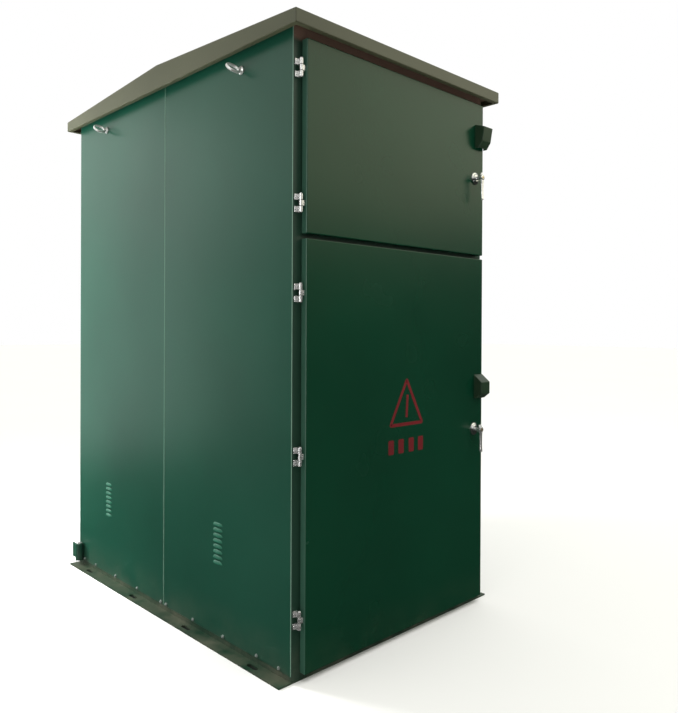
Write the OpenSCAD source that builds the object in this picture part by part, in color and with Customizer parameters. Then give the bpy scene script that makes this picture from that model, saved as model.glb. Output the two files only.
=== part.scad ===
// Pad-mounted transformer in a tall steel housing with a gable roof.
// Origin: centre of the footprint, on the ground. +Z up, the two front doors face -Y.

/* [Housing] */
// Width across the side panels
body_w = 1044; // [1044:4:1400]
// Depth of the body, front frame face to rear frame face
body_d = 1600; // [1400:10:2000]
// Height of the roof skirt's lower edge
eave_z = 2105; // [2000:5:2600]
// Height of the roof skirt
skirt_h = 46; // [30:1:90]
// Rise of the roof from skirt to ridge
ridge_rise = 49; // [20:1:200]
// How far the roof stands out at each side
side_overhang = 42; // [30:1:90]
// How far the roof stands out at the front and the rear
end_overhang = 62; // [58:1:120]
// Thickness of the roof sheet
roof_t = 3; // [2:0.5:5]
// Thickness of the side panels
panel_t = 2; // [1.5:0.5:4]
// Height of the side panels' lower edge
panel_bottom_z = 24; // [20:1:60]
// Gap between the two panels of a side
seam_gap = 3; // [1:0.5:8]

/* [Base] */
// How far the foot flange stands out from the side panel
foot_w = 48; // [40:1:90]
// Thickness of the foot flange
foot_t = 6; // [4:1:12]
// Height of the upright leg of the foot rail
foot_leg_h = 70; // [66:1:120]
// Height of the cross rails in the base
base_h = 64; // [50:1:66]
// Width of an anchor slot
slot_w = 18; // [12:1:26]
// Length of an anchor slot, end to end
slot_l = 55; // [40:1:90]
// Distance between anchor slots
slot_pitch = 420; // [200:10:440]

/* [Frame] */
// Width of a corner post, seen from the front
post_w = 60; // [56:1:80]
// Depth of a corner post
post_d = 50; // [40:1:70]
// Thickness of the posts and rails
frame_t = 3; // [2:0.5:5]
// Height of the middle of the rail between the doors
split_z = 1450; // [1200:10:1600]
// Height of the rail between the doors
split_h = 60; // [56:1:90]
// Height of the rails above the doors
head_h = 70; // [66:1:100]

/* [Doors] */
// Depth of a door from the frame's seal gap to its face
door_d = 25; // [24:1:40]
// Thickness of the door sheet
door_t = 2; // [1.5:0.5:3]
// Gap between a closed door and the frame, filled by the seal
seal_gap = 3; // [2:0.5:6]
// From the side of the body to the hinge edge of a door
hinge_margin = 37; // [36:1:44]
// From the side of the body to the lock edge of a door
lock_margin = 23; // [18:1:30]
// Height of the lower edge of the lower door and the rear door
door_bottom_z = 28; // [20:1:34]
// Gap between the upper and the lower door
door_gap = 16; // [8:1:24]
// From the roof skirt's lower edge down to the doors
door_top_drop = 17; // [8:1:30]
// Width of the seal
seal_w = 12; // [8:1:12]
// Width of a door stiffener
rib_w = 40; // [20:1:80]

/* [Hinges] */
// Height of a hinge
hinge_h = 60; // [45:3:90]
// Radius of a hinge knuckle
knuckle_r = 6; // [5:0.5:7]
// Radius of a hinge pin
pin_r = 2.95; // [2.45:0.5:3.45]
// From the end of the upper door to the middle of its hinges
upper_hinge_in = 97; // [60:1:140]
// From the end of the lower door to the middle of its outer hinges
lower_hinge_in = 177; // [60:1:300]

/* [Locks] */
// From the lock edge of a door to the handle spindle
handle_in = 59; // [54:1:70]
// Radius of the round escutcheon
escutcheon_r = 25; // [16:1:30]
// Thickness of the escutcheon
escutcheon_t = 10; // [6:1:16]
// Radius of the lock spindle
spindle_r = 8; // [5:0.5:10]
// How far the lever stands in front of the door
lever_out = 36; // [35:1:55]
// Length of the lever below the spindle
lever_down = 92; // [50:1:100]
// Length of the lever above the spindle
lever_up = 22; // [10:1:40]
// Width and thickness of the lever
lever_w = 15; // [10:1:22]
// Length of the lock tongue from the spindle's axis
tongue_l = 36; // [30:1:45]
// Radius of a lock rod
rod_r = 4; // [3:0.5:5]
// Travel of the lock rods, and how far each stands beside the spindle
rod_travel = 12; // [10:1:13]

/* [Padlock hoods] */
// Width of a hood
hood_w = 60; // [40:1:70]
// Depth of a hood
hood_d = 46; // [35:1:60]
// Height of a hood
hood_h = 98; // [70:1:130]
// Thickness of the hood sheet
hood_t = 2; // [1.5:0.5:4]
// From the spindle up to the middle of the hood
hood_above = 176; // [130:1:210]
// How far a hood stands past the door's lock edge
hood_past = 3; // [0:1:15]

/* [Louvres] */
// Number of louvres in a group
louvre_n = 8; // [4:1:14]
// Distance between louvres
louvre_pitch = 20; // [16:1:30]
// Length of a louvre
louvre_l = 62; // [40:1:120]
// How far a louvre stands out from the panel
louvre_out = 5; // [3:0.5:8]
// Height of the lowest louvre
louvre_z = 295; // [150:5:600]
// Middle of the front panel's group, from the seam
louvre_front_y = 385; // [200:5:500]
// Middle of the rear panel's group, from the seam
louvre_rear_y = 490; // [200:5:500]

/* [Lifting eyes] */
// From the middle of the body to an eye
eye_y = 520; // [300:10:600]
// Height of the eyes below the roof skirt's lower edge
eye_drop = 53; // [45:1:90]
// Outer radius of the ring
eye_ring_r = 28; // [27:1:36]
// Radius of the hole in the ring
eye_hole_r = 20; // [15:1:21]
// Radius of the collar against the panel
eye_collar_r = 15; // [12:1:20]
// Lean of the ring about its shank
eye_lean = 45; // [0:5:60]

/* [Transformer] */
// Depth of the cable and meter rooms behind the front frame face
front_room = 500; // [450:10:600]
// Free depth between the tank and the rear frame face
rear_room = 410; // [300:10:500]
// From the barrier wall to the tank
tank_gap = 70; // [60:1:100]
// From the side of the body to the tank wall
tank_side = 142; // [120:1:200]
// Height of the tank without its lid
tank_h = 820; // [760:10:900]
// Height of the skids under the tank
skid_h = 66; // [40:1:100]
// Thickness of the tank wall
tank_t = 5; // [4:1:8]
// Depth of the cooling fins
fin_d = 80; // [50:1:85]
// Distance between cooling fins
fin_pitch = 48; // [36:1:80]
// Distance between the limbs of the core
limb_pitch = 230; // [225:1:240]
// Distance between the high-voltage bushings
hv_pitch = 200; // [150:5:230]
// Height of the high-voltage bushings
hv_z = 820; // [600:10:860]
// Distance between the low-voltage bushings and bars
lv_pitch = 90; // [80:1:100]

/* [Hidden] */
$fn = 48;

green = "#3f6f59";
dark_green = "#22452f";
olive = "#6b7058";
steel = "#c9ccce";
rubber = "#1c1c1c";
copper = "#b87348";
grey = "#8b9094";
sheet_grey = "#b9bdb4";

half_w = body_w / 2;
half_d = body_d / 2;
frame_x = half_w - panel_t;
clear = 0.3;
run_gap = 0.05;

// Doors
door_hinge_x = -half_w + hinge_margin;
door_lock_x = half_w - lock_margin;
door_back_y = -half_d - seal_gap;
door_face_y = door_back_y - door_d;
door_top_z = eave_z - door_top_drop;
upper_bottom_z = split_z + door_gap / 2;
lower_top_z = split_z - door_gap / 2;
upper_mid_z = (upper_bottom_z + door_top_z) / 2;
lower_mid_z = (door_bottom_z + lower_top_z) / 2;
rear_mid_z = (door_bottom_z + door_top_z) / 2;
soffit_up = 25;
post_top_z = eave_z + soffit_up;
head_bottom_z = post_top_z - head_h;

// Hinges, on the left of a door as it is seen from in front
axis_side = 15;
axis_x = door_hinge_x - axis_side;
axis_y = -half_d - 16;
leaf_t = 3;
knuckle_h = hinge_h / 3;
upper_hinges = [upper_bottom_z + upper_hinge_in, door_top_z - upper_hinge_in];
lower_hinges = [door_bottom_z + lower_hinge_in, lower_mid_z, lower_top_z - lower_hinge_in];
rear_hinges = [for (i = [0:3])
  door_bottom_z + lower_hinge_in + i * (door_top_z - door_bottom_z - 2 * lower_hinge_in) / 3];

// Locks
spindle_x = door_lock_x - handle_in;
tongue_t = 4;
tongue_y = -half_d + 8;
disc_t = 1.7;
rod_y = tongue_y + tongue_t + disc_t + clear + rod_r;

// Rooms
barrier_t = 3;
barrier_y = -half_d + front_room;
floor_t = 3;
floor_z = base_h + floor_t;
shelf_t = 3;
rail_w = 50;
rail_h = 100;

// Tank
tank_w = body_w - 2 * tank_side;
tank_front = barrier_y + tank_gap;
tank_rear = half_d - rear_room;
tank_d = tank_rear - tank_front;
tank_mid_y = (tank_front + tank_rear) / 2;
tank_z = base_h + skid_h;
tank_top = tank_z + tank_h;
lid_t = 10;
lid_rim = 30;
lid_top = tank_top + lid_t;
skid_x = 250;
skid_w = 60;

// Equipment in the upper room
plate_y = barrier_y - 40;
plate_t = 3;
breaker_x = -180;
breaker_w = 4 * lv_pitch + 20;
breaker_z = [upper_mid_z - 120, upper_mid_z + 130];
breaker_d = 150;
feeder_w = 88;
feeder_d = 80;
feeder_x = [70, 190];
feeder_z = [upper_mid_z - 80, upper_mid_z + 80];
lv_x = [for (i = [0:3]) breaker_x + (i - 1.5) * lv_pitch];
hv_x = [-hv_pitch, 0, hv_pitch];
bar_top_z = post_top_z - 100;
bar_t = 6;
bar_w = 25;

module box(low, high) {
  translate(low) cube(high - low);
}

module mirrored_x() {
  children();
  mirror([1, 0, 0]) children();
}

module mirrored_y() {
  children();
  mirror([0, 1, 0]) children();
}

// A cylinder that runs along +Y from the given point
module rod_along_y(p, r, l) {
  translate(p) rotate([-90, 0, 0]) cylinder(r = r, h = l);
}

module rod_along_x(p, r, l) {
  translate(p) rotate([0, 90, 0]) cylinder(r = r, h = l);
}

// A tube with walls of the frame's thickness, open at both ends along the given axis
module tube_x(low, high) {
  difference() {
    box(low, high);
    box(low + [-1, frame_t, frame_t], high + [1, -frame_t, -frame_t]);
  }
}

module tube_y(low, high) {
  difference() {
    box(low, high);
    box(low + [frame_t, -1, frame_t], high + [-frame_t, 1, -frame_t]);
  }
}

// ---- Base and frame ----

slot_ys = [for (i = [0:3]) (i - 1.5) * slot_pitch];
bolt_z = panel_bottom_z + 9;
bolt_r = 4;
bolt_first = 20;
bolt_last = 60;
bolt_pitch = 200;
bolt_count = floor((half_d - bolt_first - bolt_last - 60) / bolt_pitch) + 1;
bolt_ys = concat([for (i = [0:bolt_count - 1]) bolt_first + i * bolt_pitch], [half_d - bolt_last]);

module slot(y) {
  for (s = [-1, 1])
    translate([half_w + foot_w / 2, y + s * (slot_l - slot_w) / 2, -1])
      cylinder(d = slot_w, h = foot_t + 2);
  box([half_w + foot_w / 2 - slot_w / 2, y - (slot_l - slot_w) / 2, -1],
      [half_w + foot_w / 2 + slot_w / 2, y + (slot_l - slot_w) / 2, foot_t + 1]);
}

module eye_holes() {
  for (y = [-eye_y, eye_y])
    rod_along_x([frame_x - frame_t - 1, y, eye_z], eye_shank_r + clear, frame_t + panel_t + 2);
}

module bolt_holes(r) {
  for (y = bolt_ys, s = [-1, 1])
    rod_along_x([frame_x - foot_t - 1, s * y, bolt_z], r, foot_t + panel_t + 2);
}

module foot_rail() {
  difference() {
    union() {
      box([frame_x - post_w, -half_d, 0], [half_w + foot_w, half_d, foot_t]);
      box([frame_x - foot_t, -half_d + post_d, foot_t], [frame_x, half_d - post_d, foot_leg_h]);
    }
    for (y = slot_ys) slot(y);
    bolt_holes(bolt_r + clear);
  }
}

// Channel across the base, open upwards, its outer face flush with the frame face
module end_channel() {
  difference() {
    box([-frame_x + post_w, -half_d, 0], [frame_x - post_w, -half_d + post_d, base_h]);
    box([-frame_x + post_w - 1, -half_d + frame_t, frame_t],
        [frame_x - post_w + 1, -half_d + post_d - frame_t, base_h + 1]);
  }
}

module support_rail(y0, y1) {
  tube_x([-frame_x + foot_t, y0, foot_t], [frame_x - foot_t, y1, base_h]);
}

module base_frame() {
  color(green) union() {
    mirrored_x() foot_rail();
    mirrored_y() end_channel();
    support_rail(barrier_y - 30, tank_front - 10);
    support_rail(tank_rear - 60, tank_rear + 30);
  }
}

// Channel post, open towards the door opening, so that a lock tongue can turn in behind its face
module corner_post() {
  difference() {
    box([-frame_x, -half_d, foot_t], [-frame_x + post_w, -half_d + post_d, post_top_z]);
    box([-frame_x + frame_t, -half_d + frame_t, foot_t - 1],
        [-frame_x + post_w + 1, -half_d + post_d - frame_t, post_top_z + 1]);
  }
}

module corner_posts() {
  color(green) mirrored_x() mirrored_y() corner_post();
}

module head_rail() {
  difference() {
    box([-frame_x + post_w, -half_d, head_bottom_z], [frame_x - post_w, -half_d + post_d, post_top_z]);
    box([-frame_x + post_w - 1, -half_d + frame_t, head_bottom_z - 1],
        [frame_x - post_w + 1, -half_d + post_d - frame_t, post_top_z - frame_t]);
  }
}

// Rail between the two front doors: a face plate with a web behind its middle
module split_rail() {
  x = frame_x - post_w;
  box([-x, -half_d, split_z - split_h / 2], [x, -half_d + frame_t, split_z + split_h / 2]);
  box([-x, -half_d + frame_t, split_z - 2], [x, -half_d + post_d, split_z + 2]);
}

module frame_rails() {
  color(green) {
    mirrored_y() head_rail();
    split_rail();
    mirrored_x() {
      difference() {
        tube_y([frame_x - rail_w, -half_d + post_d, post_top_z - rail_h],
               [frame_x, half_d - post_d, post_top_z]);
        eye_holes();
      }
      difference() {
        box([frame_x - rail_w, -rail_w / 2, foot_t], [frame_x - foot_t, rail_w / 2, post_top_z - rail_h]);
        box([frame_x - rail_w + frame_t, -rail_w / 2 + frame_t, foot_t - 1],
            [frame_x - foot_t - frame_t, rail_w / 2 - frame_t, post_top_z]);
      }
    }
  }
}

// ---- Panels ----

// One pressed louvre: a sloping hood over a slot that opens downwards
module louvre_hood() {
  rotate([90, 0, 0]) linear_extrude(height = louvre_l, center = true)
    polygon([[0, 0], [louvre_out, -6], [louvre_out, -8], [louvre_out - 1.2, -8], [0, -2]]);
}

module side_panel(louvre_y, y0, y1) {
  slot_zs = [for (i = [0:louvre_n - 1]) louvre_z + i * louvre_pitch];
  difference() {
    box([frame_x, y0, panel_bottom_z], [half_w, y1, post_top_z - 2]);
    for (z = slot_zs)
      box([frame_x - 1, louvre_y - louvre_l / 2 + 2, z - 7],
          [half_w + 1, louvre_y + louvre_l / 2 - 2, z - 3]);
    bolt_holes(bolt_r + clear);
    eye_holes();
  }
  for (z = slot_zs) translate([half_w, louvre_y, z]) louvre_hood();
}

module front_side_panel() {
  color(green) side_panel(-louvre_front_y, -half_d, -seam_gap / 2);
}

module rear_side_panel() {
  color(green) side_panel(louvre_rear_y, seam_gap / 2, half_d);
}

module side_panel_left_front() mirror([1, 0, 0]) front_side_panel();
module side_panel_left_rear() mirror([1, 0, 0]) rear_side_panel();
module side_panel_right_front() front_side_panel();
module side_panel_right_rear() rear_side_panel();

module panel_bolts() {
  color(steel) mirrored_x() for (y = bolt_ys, s = [-1, 1]) {
    rod_along_x([half_w, s * y, bolt_z], 2 * bolt_r, 1);
    translate([half_w + 1, s * y, bolt_z]) rotate([0, 90, 0]) cylinder(r = 1.6 * bolt_r, h = 4, $fn = 6);
    rod_along_x([frame_x - foot_t, s * y, bolt_z], bolt_r, foot_t + panel_t);
  }
}

// ---- Roof ----

module gable(inset, low) {
  y = half_d + end_overhang - inset;
  x = half_w + side_overhang - inset;
  translate([-x, 0, 0]) rotate([90, 0, 90]) linear_extrude(height = 2 * x)
    polygon([[-y, eave_z - low], [y, eave_z - low], [y, eave_z + skirt_h - inset],
             [0, eave_z + skirt_h + ridge_rise - inset], [-y, eave_z + skirt_h - inset]]);
}

module roof_shell() {
  color(olive) difference() {
    gable(0, 0);
    gable(roof_t, 1);
  }
}

module roof_soffit() {
  x = half_w + side_overhang - roof_t;
  y = half_d + end_overhang - roof_t;
  color("#4a3a32") difference() {
    box([-x, -y, post_top_z], [x, y, post_top_z + 2]);
    for (i = [-6:6], s = [-1, 1])
      translate([s * (half_w + 15), i * 100, post_top_z]) cube([12, 70, 6], center = true);
  }
}

// An eye bolt whose shank runs inwards along X, its ring leaning about the shank
module lifting_eye() {
  band = eye_ring_r - eye_hole_r;
  translate([eye_collar_h + eye_ring_r - 2, 0, 0]) rotate([eye_lean, 0, 0])
    rotate_extrude($fn = 64) translate([eye_hole_r + band / 2, 0]) intersection() {
      circle(r = eye_tube_r, $fn = 32);
      square([band, 2 * eye_tube_r], center = true);
    }
  rod_along_x([0, 0, 0], eye_collar_r, eye_collar_h);
  rod_along_x([eye_collar_h - 1, 0, 0], eye_tube_r, band - 3);
  rod_along_x([-panel_t - 10, 0, 0], eye_shank_r, panel_t + 10.5);
}

eye_collar_h = 10;
eye_tube_r = 5.5;
eye_shank_r = 8;
eye_z = eave_z - eye_drop;

module eye_at(side, y) {
  translate([side * half_w, y, eye_z]) mirror([side < 0 ? 1 : 0, 0, 0]) lifting_eye();
}

module lifting_eyes() {
  color(steel) for (s = [-1, 1], y = [-eye_y, eye_y]) eye_at(s, y);
}

// Short tube and plate welded low on the left side, at the rear corner
module rear_corner_socket() {
  x = -half_w - socket_r - 2;
  y = half_d - 38;
  color(green) difference() {
    union() {
      translate([x, y, socket_z]) cylinder(r = socket_r, h = socket_h);
      box([x - 2.5, y + socket_r - 2, socket_z + 4], [x + 2.5, half_d + 32, socket_z + socket_h - 8]);
      box([x, y - 8, socket_z + 20], [-half_w, y + 8, socket_z + socket_h - 10]);
    }
    translate([x, y, socket_z - 1]) cylinder(r = socket_bore_r, h = socket_h + 2);
  }
}

socket_r = 17;
socket_bore_r = 11;
socket_z = 25;
socket_h = 80;

// ---- Hinges ----

module knuckle(z0, z1) {
  translate([axis_x, axis_y, z0]) cylinder(r = knuckle_r, h = z1 - z0);
}

module pin_bore(z) {
  translate([axis_x, axis_y, z - hinge_h]) cylinder(r = pin_r + run_gap, h = 2 * hinge_h);
}

// The leaf on the frame: a knuckle with a tab at the top and the bottom, joined by a thin web
module frame_leaf(z) {
  difference() {
    union() {
      for (z0 = [z - hinge_h / 2, z + hinge_h / 2 - knuckle_h]) {
        knuckle(z0, z0 + knuckle_h);
        box([axis_x - knuckle_r, axis_y, z0], [axis_x, -half_d, z0 + knuckle_h]);
        box([axis_x - axis_side, -half_d - leaf_t, z0], [axis_x + 5, -half_d, z0 + knuckle_h]);
      }
      box([axis_x - axis_side, -half_d - leaf_t / 2, z - hinge_h / 2],
          [axis_x - knuckle_r, -half_d, z + hinge_h / 2]);
    }
    pin_bore(z);
  }
}

// The leaf on the door: the middle knuckle with a tab to the edge of the door
module door_leaf(z) {
  difference() {
    union() {
      knuckle(z - knuckle_h / 2 + clear, z + knuckle_h / 2 - clear);
      box([axis_x, axis_y - 3, z - knuckle_h / 2 + clear],
          [door_hinge_x, axis_y + 3, z + knuckle_h / 2 - clear]);
    }
    pin_bore(z);
  }
}

module hinge_pin(z) {
  translate([axis_x, axis_y, z - hinge_h / 2]) cylinder(r = pin_r, h = hinge_h + 1);
  translate([axis_x, axis_y, z + hinge_h / 2]) cylinder(r = knuckle_r - 1, h = 2);
}

module turned_round() {
  rotate([0, 0, 180]) children();
}

module hinge_frame_leaves() {
  color(steel) {
    for (z = concat(upper_hinges, lower_hinges)) frame_leaf(z);
    turned_round() for (z = rear_hinges) frame_leaf(z);
  }
}

module hinge_pins() {
  color(steel) {
    for (z = concat(upper_hinges, lower_hinges)) hinge_pin(z);
    turned_round() for (z = rear_hinges) hinge_pin(z);
  }
}

module upper_door_hinge_leaves() color(steel) for (z = upper_hinges) door_leaf(z);
module lower_door_hinge_leaves() color(steel) for (z = lower_hinges) door_leaf(z);
module rear_door_hinge_leaves() color(steel) turned_round() for (z = rear_hinges) door_leaf(z);

// ---- Doors ----

// Folded pan, open at the back
module door_skin(z0, z1, lock_z) {
  difference() {
    box([door_hinge_x, door_face_y, z0], [door_lock_x, door_back_y, z1]);
    box([door_hinge_x + door_t, door_face_y + door_t, z0 + door_t],
        [door_lock_x - door_t, door_back_y + 1, z1 - door_t]);
    rod_along_y([spindle_x, door_face_y - 1, lock_z], spindle_r + 1, door_t + 2);
  }
}

// A frame lying on the door sheet round the opening, from y0 to y1
module door_ring(z0, z1, y0, y1) {
  x = frame_x - post_w + seal_lap;
  difference() {
    box([-x - seal_w, y0, z0 - seal_w], [x + seal_w, y1, z1 + seal_w]);
    box([-x, y0 - 1, z0], [x, y1 + 1, z1]);
  }
}

seal_lap = 4;
seal_t = 14;

module door_seal(z0, z1) {
  color(rubber) door_ring(z0, z1, -half_d - seal_t, -half_d);
}

module door_stiffener(z0, z1) {
  y0 = door_face_y + door_t;
  door_ring(z0, z1, y0, -half_d - seal_t);
  for (x = [-door_rib_x, door_rib_x]) difference() {
    box([x - rib_w / 2, y0, z0], [x + rib_w / 2, door_back_y, z1]);
    box([x - rib_w / 2 + door_t, y0 - 1, z0 - 1], [x + rib_w / 2 - door_t, door_back_y - door_t, z1 + 1]);
  }
}

door_rib_x = half_w / 3;

// Blocks on the lower door that guide one lock rod
module rod_guide(x, z) {
  difference() {
    box([x - rod_r - 2, door_face_y + door_t, z - 10], [x + rod_r + 2, rod_y + rod_r + 2, z + 10]);
    translate([x, rod_y, z - 11]) cylinder(r = rod_r + run_gap, h = 22);
  }
}

module upper_door_skin() color(dark_green) door_skin(upper_bottom_z, door_top_z, upper_mid_z);
module lower_door_skin() color(dark_green) door_skin(door_bottom_z, lower_top_z, lower_mid_z);
module rear_door_skin() color(dark_green) turned_round() door_skin(door_bottom_z, door_top_z, rear_mid_z);

module upper_door_seal() door_seal(split_z + split_h / 2 - seal_lap, head_bottom_z + seal_lap);
module lower_door_seal() door_seal(base_h - seal_lap, split_z - split_h / 2 + seal_lap);
module rear_door_seal() turned_round() door_seal(base_h - seal_lap, head_bottom_z + seal_lap);

module upper_door_stiffeners() {
  color(green) door_stiffener(split_z + split_h / 2 - seal_lap, head_bottom_z + seal_lap);
}

module lower_door_stiffeners() {
  color(green) {
    door_stiffener(base_h - seal_lap, split_z - split_h / 2 + seal_lap);
    for (i = [1, 2]) {
      rod_guide(rod_up_x, lower_mid_z + i * guide_step);
      rod_guide(rod_down_x, lower_mid_z - i * guide_step);
    }
  }
}

module rear_door_stiffeners() {
  color(green) turned_round() door_stiffener(base_h - seal_lap, head_bottom_z + seal_lap);
}

// ---- Locks ----

rod_up_x = spindle_x + rod_travel;
rod_down_x = spindle_x - rod_travel;
rod_short = 4;
guide_step = (lower_top_z - door_bottom_z) / 2 * 0.42;

module escutcheon(z) {
  color(steel) difference() {
    union() {
      rod_along_y([spindle_x, door_face_y - 4, z], escutcheon_r, 4);
      rod_along_y([spindle_x, door_face_y - escutcheon_t, z], escutcheon_r * 0.72, escutcheon_t);
    }
    rod_along_y([spindle_x, door_face_y - escutcheon_t - 1, z], spindle_r + run_gap, escutcheon_t + 2);
  }
}

// Lever hanging down in front, spindle through the door, tongue and drive disc behind it
module handle(z) {
  lever_y = door_face_y - lever_out;
  color(steel) {
    rod_along_y([spindle_x, lever_y, z], spindle_r, tongue_y - lever_y);
    rod_along_y([spindle_x, lever_y - lever_w / 2, z], spindle_r + 4, lever_w / 2 + 6);
    box([spindle_x - lever_w / 2, lever_y - lever_w / 2, z - lever_down],
        [spindle_x + lever_w / 2, lever_y, z + lever_up - lever_w / 2]);
    for (dz = [-lever_down, lever_up - lever_w / 2])
      rod_along_y([spindle_x, lever_y - lever_w / 2, z + dz], lever_w / 2, lever_w / 2);
    box([spindle_x - 8, tongue_y, z - tongue_l], [spindle_x + 8, tongue_y + tongue_t, z + 10]);
    rod_along_y([spindle_x, tongue_y + tongue_t, z], rod_travel + rod_r + 2, disc_t);
  }
}

module upper_escutcheon() escutcheon(upper_mid_z);
module lower_escutcheon() escutcheon(lower_mid_z);
module rear_escutcheon() turned_round() escutcheon(rear_mid_z);
module upper_handle() handle(upper_mid_z);
module lower_handle() handle(lower_mid_z);
module rear_handle() turned_round() handle(rear_mid_z);

module lock_rod(x, z0, z1) {
  color(steel) translate([x, rod_y, z0]) cylinder(r = rod_r, h = z1 - z0);
}

module lower_rod_up() lock_rod(rod_up_x, lower_mid_z + rod_r, split_z - split_h / 2 - rod_short);
module lower_rod_down() lock_rod(rod_down_x, base_h + rod_short, lower_mid_z - rod_r);

// ---- Padlock hoods ----

// Side outlines of the two hoods: drop of the top, lean of the front, depth and height of the foot,
// and how much shallower than the full depth the hood is
upper_hood = [15, 10, 18, 25, 0];
lower_hood = [30, 0, 11, 20, 8];

// Sloping top, front, then a foot that bends back to the door. It is open below
module hood_outline(shape, t) {
  d = hood_d - shape[4];
  polygon([[1, -hood_h / 2 - t], [-shape[2] + t / 2, -hood_h / 2 - t],
           [-d + shape[1] + t, -hood_h / 2 + shape[3]],
           [-d + t, hood_h / 2 - shape[0] - t / 2], [1, hood_h / 2 - t]]);
}

module hood_solid(shape, x0, x1, t) {
  translate([x0, door_face_y, 0]) rotate([90, 0, 90]) linear_extrude(height = x1 - x0)
    hood_outline(shape, t);
}

// Sheet hood over a padlock lug, with the lug inside it
module padlock_hood(shape, z) {
  x1 = door_lock_x + hood_past;
  x0 = x1 - hood_w;
  color(dark_green) translate([0, 0, z]) {
    difference() {
      hood_solid(shape, x0, x1, 0);
      hood_solid(shape, x0 + hood_t, x1 - hood_t, hood_t);
      box([x0 - 1, door_face_y, -hood_h], [x1 + 1, door_face_y + 2, hood_h]);
    }
    difference() {
      box([lug_x - 2.5, door_face_y - lug_d, hood_h / 2 - 64],
          [lug_x + 2.5, door_face_y, hood_h / 2 - 34]);
      rod_along_x([lug_x - 5, door_face_y - lug_d + 10, hood_h / 2 - 52], 5, 10);
    }
  }
}

lug_d = 22;
lug_x = door_lock_x + hood_past - hood_w / 2;

module upper_padlock_hood() padlock_hood(upper_hood, upper_mid_z + hood_above);
module lower_padlock_hood() padlock_hood(lower_hood, lower_mid_z + hood_above);

// ---- Rooms ----

module barrier_wall() {
  low_x = frame_x - foot_t;
  high_x = frame_x - rail_w;
  color(sheet_grey) difference() {
    union() {
      box([-low_x, barrier_y, base_h], [low_x, barrier_y + barrier_t, post_top_z - rail_h]);
      box([-high_x, barrier_y, post_top_z - rail_h - 1], [high_x, barrier_y + barrier_t, post_top_z]);
    }
    for (x = hv_x) rod_along_y([x, barrier_y - 1, hv_z], 62, barrier_t + 2);
    for (x = fuse_x) rod_along_y([x, barrier_y - 1, fuse_z], 40, barrier_t + 2);
    for (z = [fuse_z, tap_z]) rod_along_y([switch_x, barrier_y - 1, z], 26, barrier_t + 2);
    box([lv_x[0] - 30, barrier_y - 1, bar_top_z - 30],
        [lv_x[3] + 30, barrier_y + barrier_t + 1, bar_top_z + 20]);
  }
}

fuse_x = [-1.5 * hv_pitch, -hv_pitch / 2, hv_pitch / 2];
fuse_z = hv_z - 180;
switch_x = 1.5 * hv_pitch;
tap_z = hv_z - 380;

module room_shelf() {
  x = frame_x - foot_t;
  color(sheet_grey) box([-x, -half_d + post_d, split_z - shelf_t / 2],
                        [x, barrier_y, split_z + shelf_t / 2]);
}

hv_hole_r = 50;
lv_hole_r = 30;
hv_cable_y = -half_d + front_room / 2;
lv_cable_y = barrier_y - 110;
lv_cable_x = [for (i = [0:3]) (i - 1.5) * hv_pitch];

module floor_plate() {
  x = frame_x - foot_t;
  inner_x = frame_x - post_w;
  color(sheet_grey) difference() {
    union() {
      box([-x, -half_d + post_d, base_h], [x, barrier_y, floor_z]);
      box([-inner_x, -half_d + post_d - frame_t, base_h], [inner_x, -half_d + post_d + 1, floor_z]);
    }
    for (x = hv_x) translate([x, hv_cable_y, 0]) cylinder(r = hv_hole_r, h = floor_z + 1);
    for (x = lv_cable_x) translate([x, lv_cable_y, 0]) cylinder(r = lv_hole_r, h = floor_z + 1);
  }
}

grommet_up = 6;
grommet_down = 4;

module grommet(x, y, hole_r, bore_r) {
  translate([x, y, 0]) difference() {
    union() {
      translate([0, 0, floor_z]) cylinder(r = hole_r + 8, h = grommet_up);
      translate([0, 0, base_h - grommet_down])
        cylinder(r = hole_r - clear, h = floor_t + grommet_down + 1);
    }
    translate([0, 0, base_h - grommet_down - 1]) cylinder(r = bore_r, h = 40);
  }
}

module cable_grommets() {
  color(rubber) {
    for (x = hv_x) grommet(x, hv_cable_y, hv_hole_r, hv_hole_r - 15);
    for (x = lv_cable_x) grommet(x, lv_cable_y, lv_hole_r, lv_hole_r - 10);
  }
}

// ---- Transformer ----

hv_neck_r = 28;
lv_neck_r = 20;
fuse_r = 24;
switch_r = 10;
lv_y = tank_front + 60;

module tank() {
  color(grey) difference() {
    union() {
      box([-tank_w / 2, tank_front, tank_z], [tank_w / 2, tank_rear, tank_top]);
      for (z = [fuse_z, tap_z]) rod_along_y([switch_x, tank_front - 14, z], 20, 20);
      rod_along_y([drain_x, tank_rear - 1, drain_z], 18, 15);
    }
    box([-tank_w / 2 + tank_t, tank_front + tank_t, tank_z + tank_t],
        [tank_w / 2 - tank_t, tank_rear - tank_t, tank_top + 1]);
    for (x = hv_x) rod_along_y([x, tank_front - 1, hv_z], hv_neck_r + clear, tank_t + 2);
    for (x = fuse_x) rod_along_y([x, tank_front - 1, fuse_z], fuse_r + clear, tank_t + 2);
    for (z = [fuse_z, tap_z]) rod_along_y([switch_x, tank_front - 15, z], switch_r + run_gap, 40);
    rod_along_y([drain_x, tank_rear - tank_t - 1, drain_z], 9, 30);
  }
}

drain_x = -tank_w / 3;
drain_z = tank_z + 40;

module tank_lid() {
  color(grey) difference() {
    union() {
      box([-tank_w / 2 - lid_rim, tank_front - lid_rim, tank_top],
          [tank_w / 2 + lid_rim, tank_rear + lid_rim, lid_top]);
      for (i = [-5:5], y = [tank_front - 15, tank_rear + 15])
        translate([i * (tank_w - 20) / 10, y, lid_top]) cylinder(r = 9, h = 7, $fn = 6);
    }
    for (x = lv_x) translate([x, lv_y, tank_top - 1]) cylinder(r = lv_neck_r + clear, h = lid_t + 2);
    translate([relief_x, tank_mid_y, tank_top - 1]) cylinder(r = 20 + clear, h = lid_t + 2);
  }
}

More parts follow.
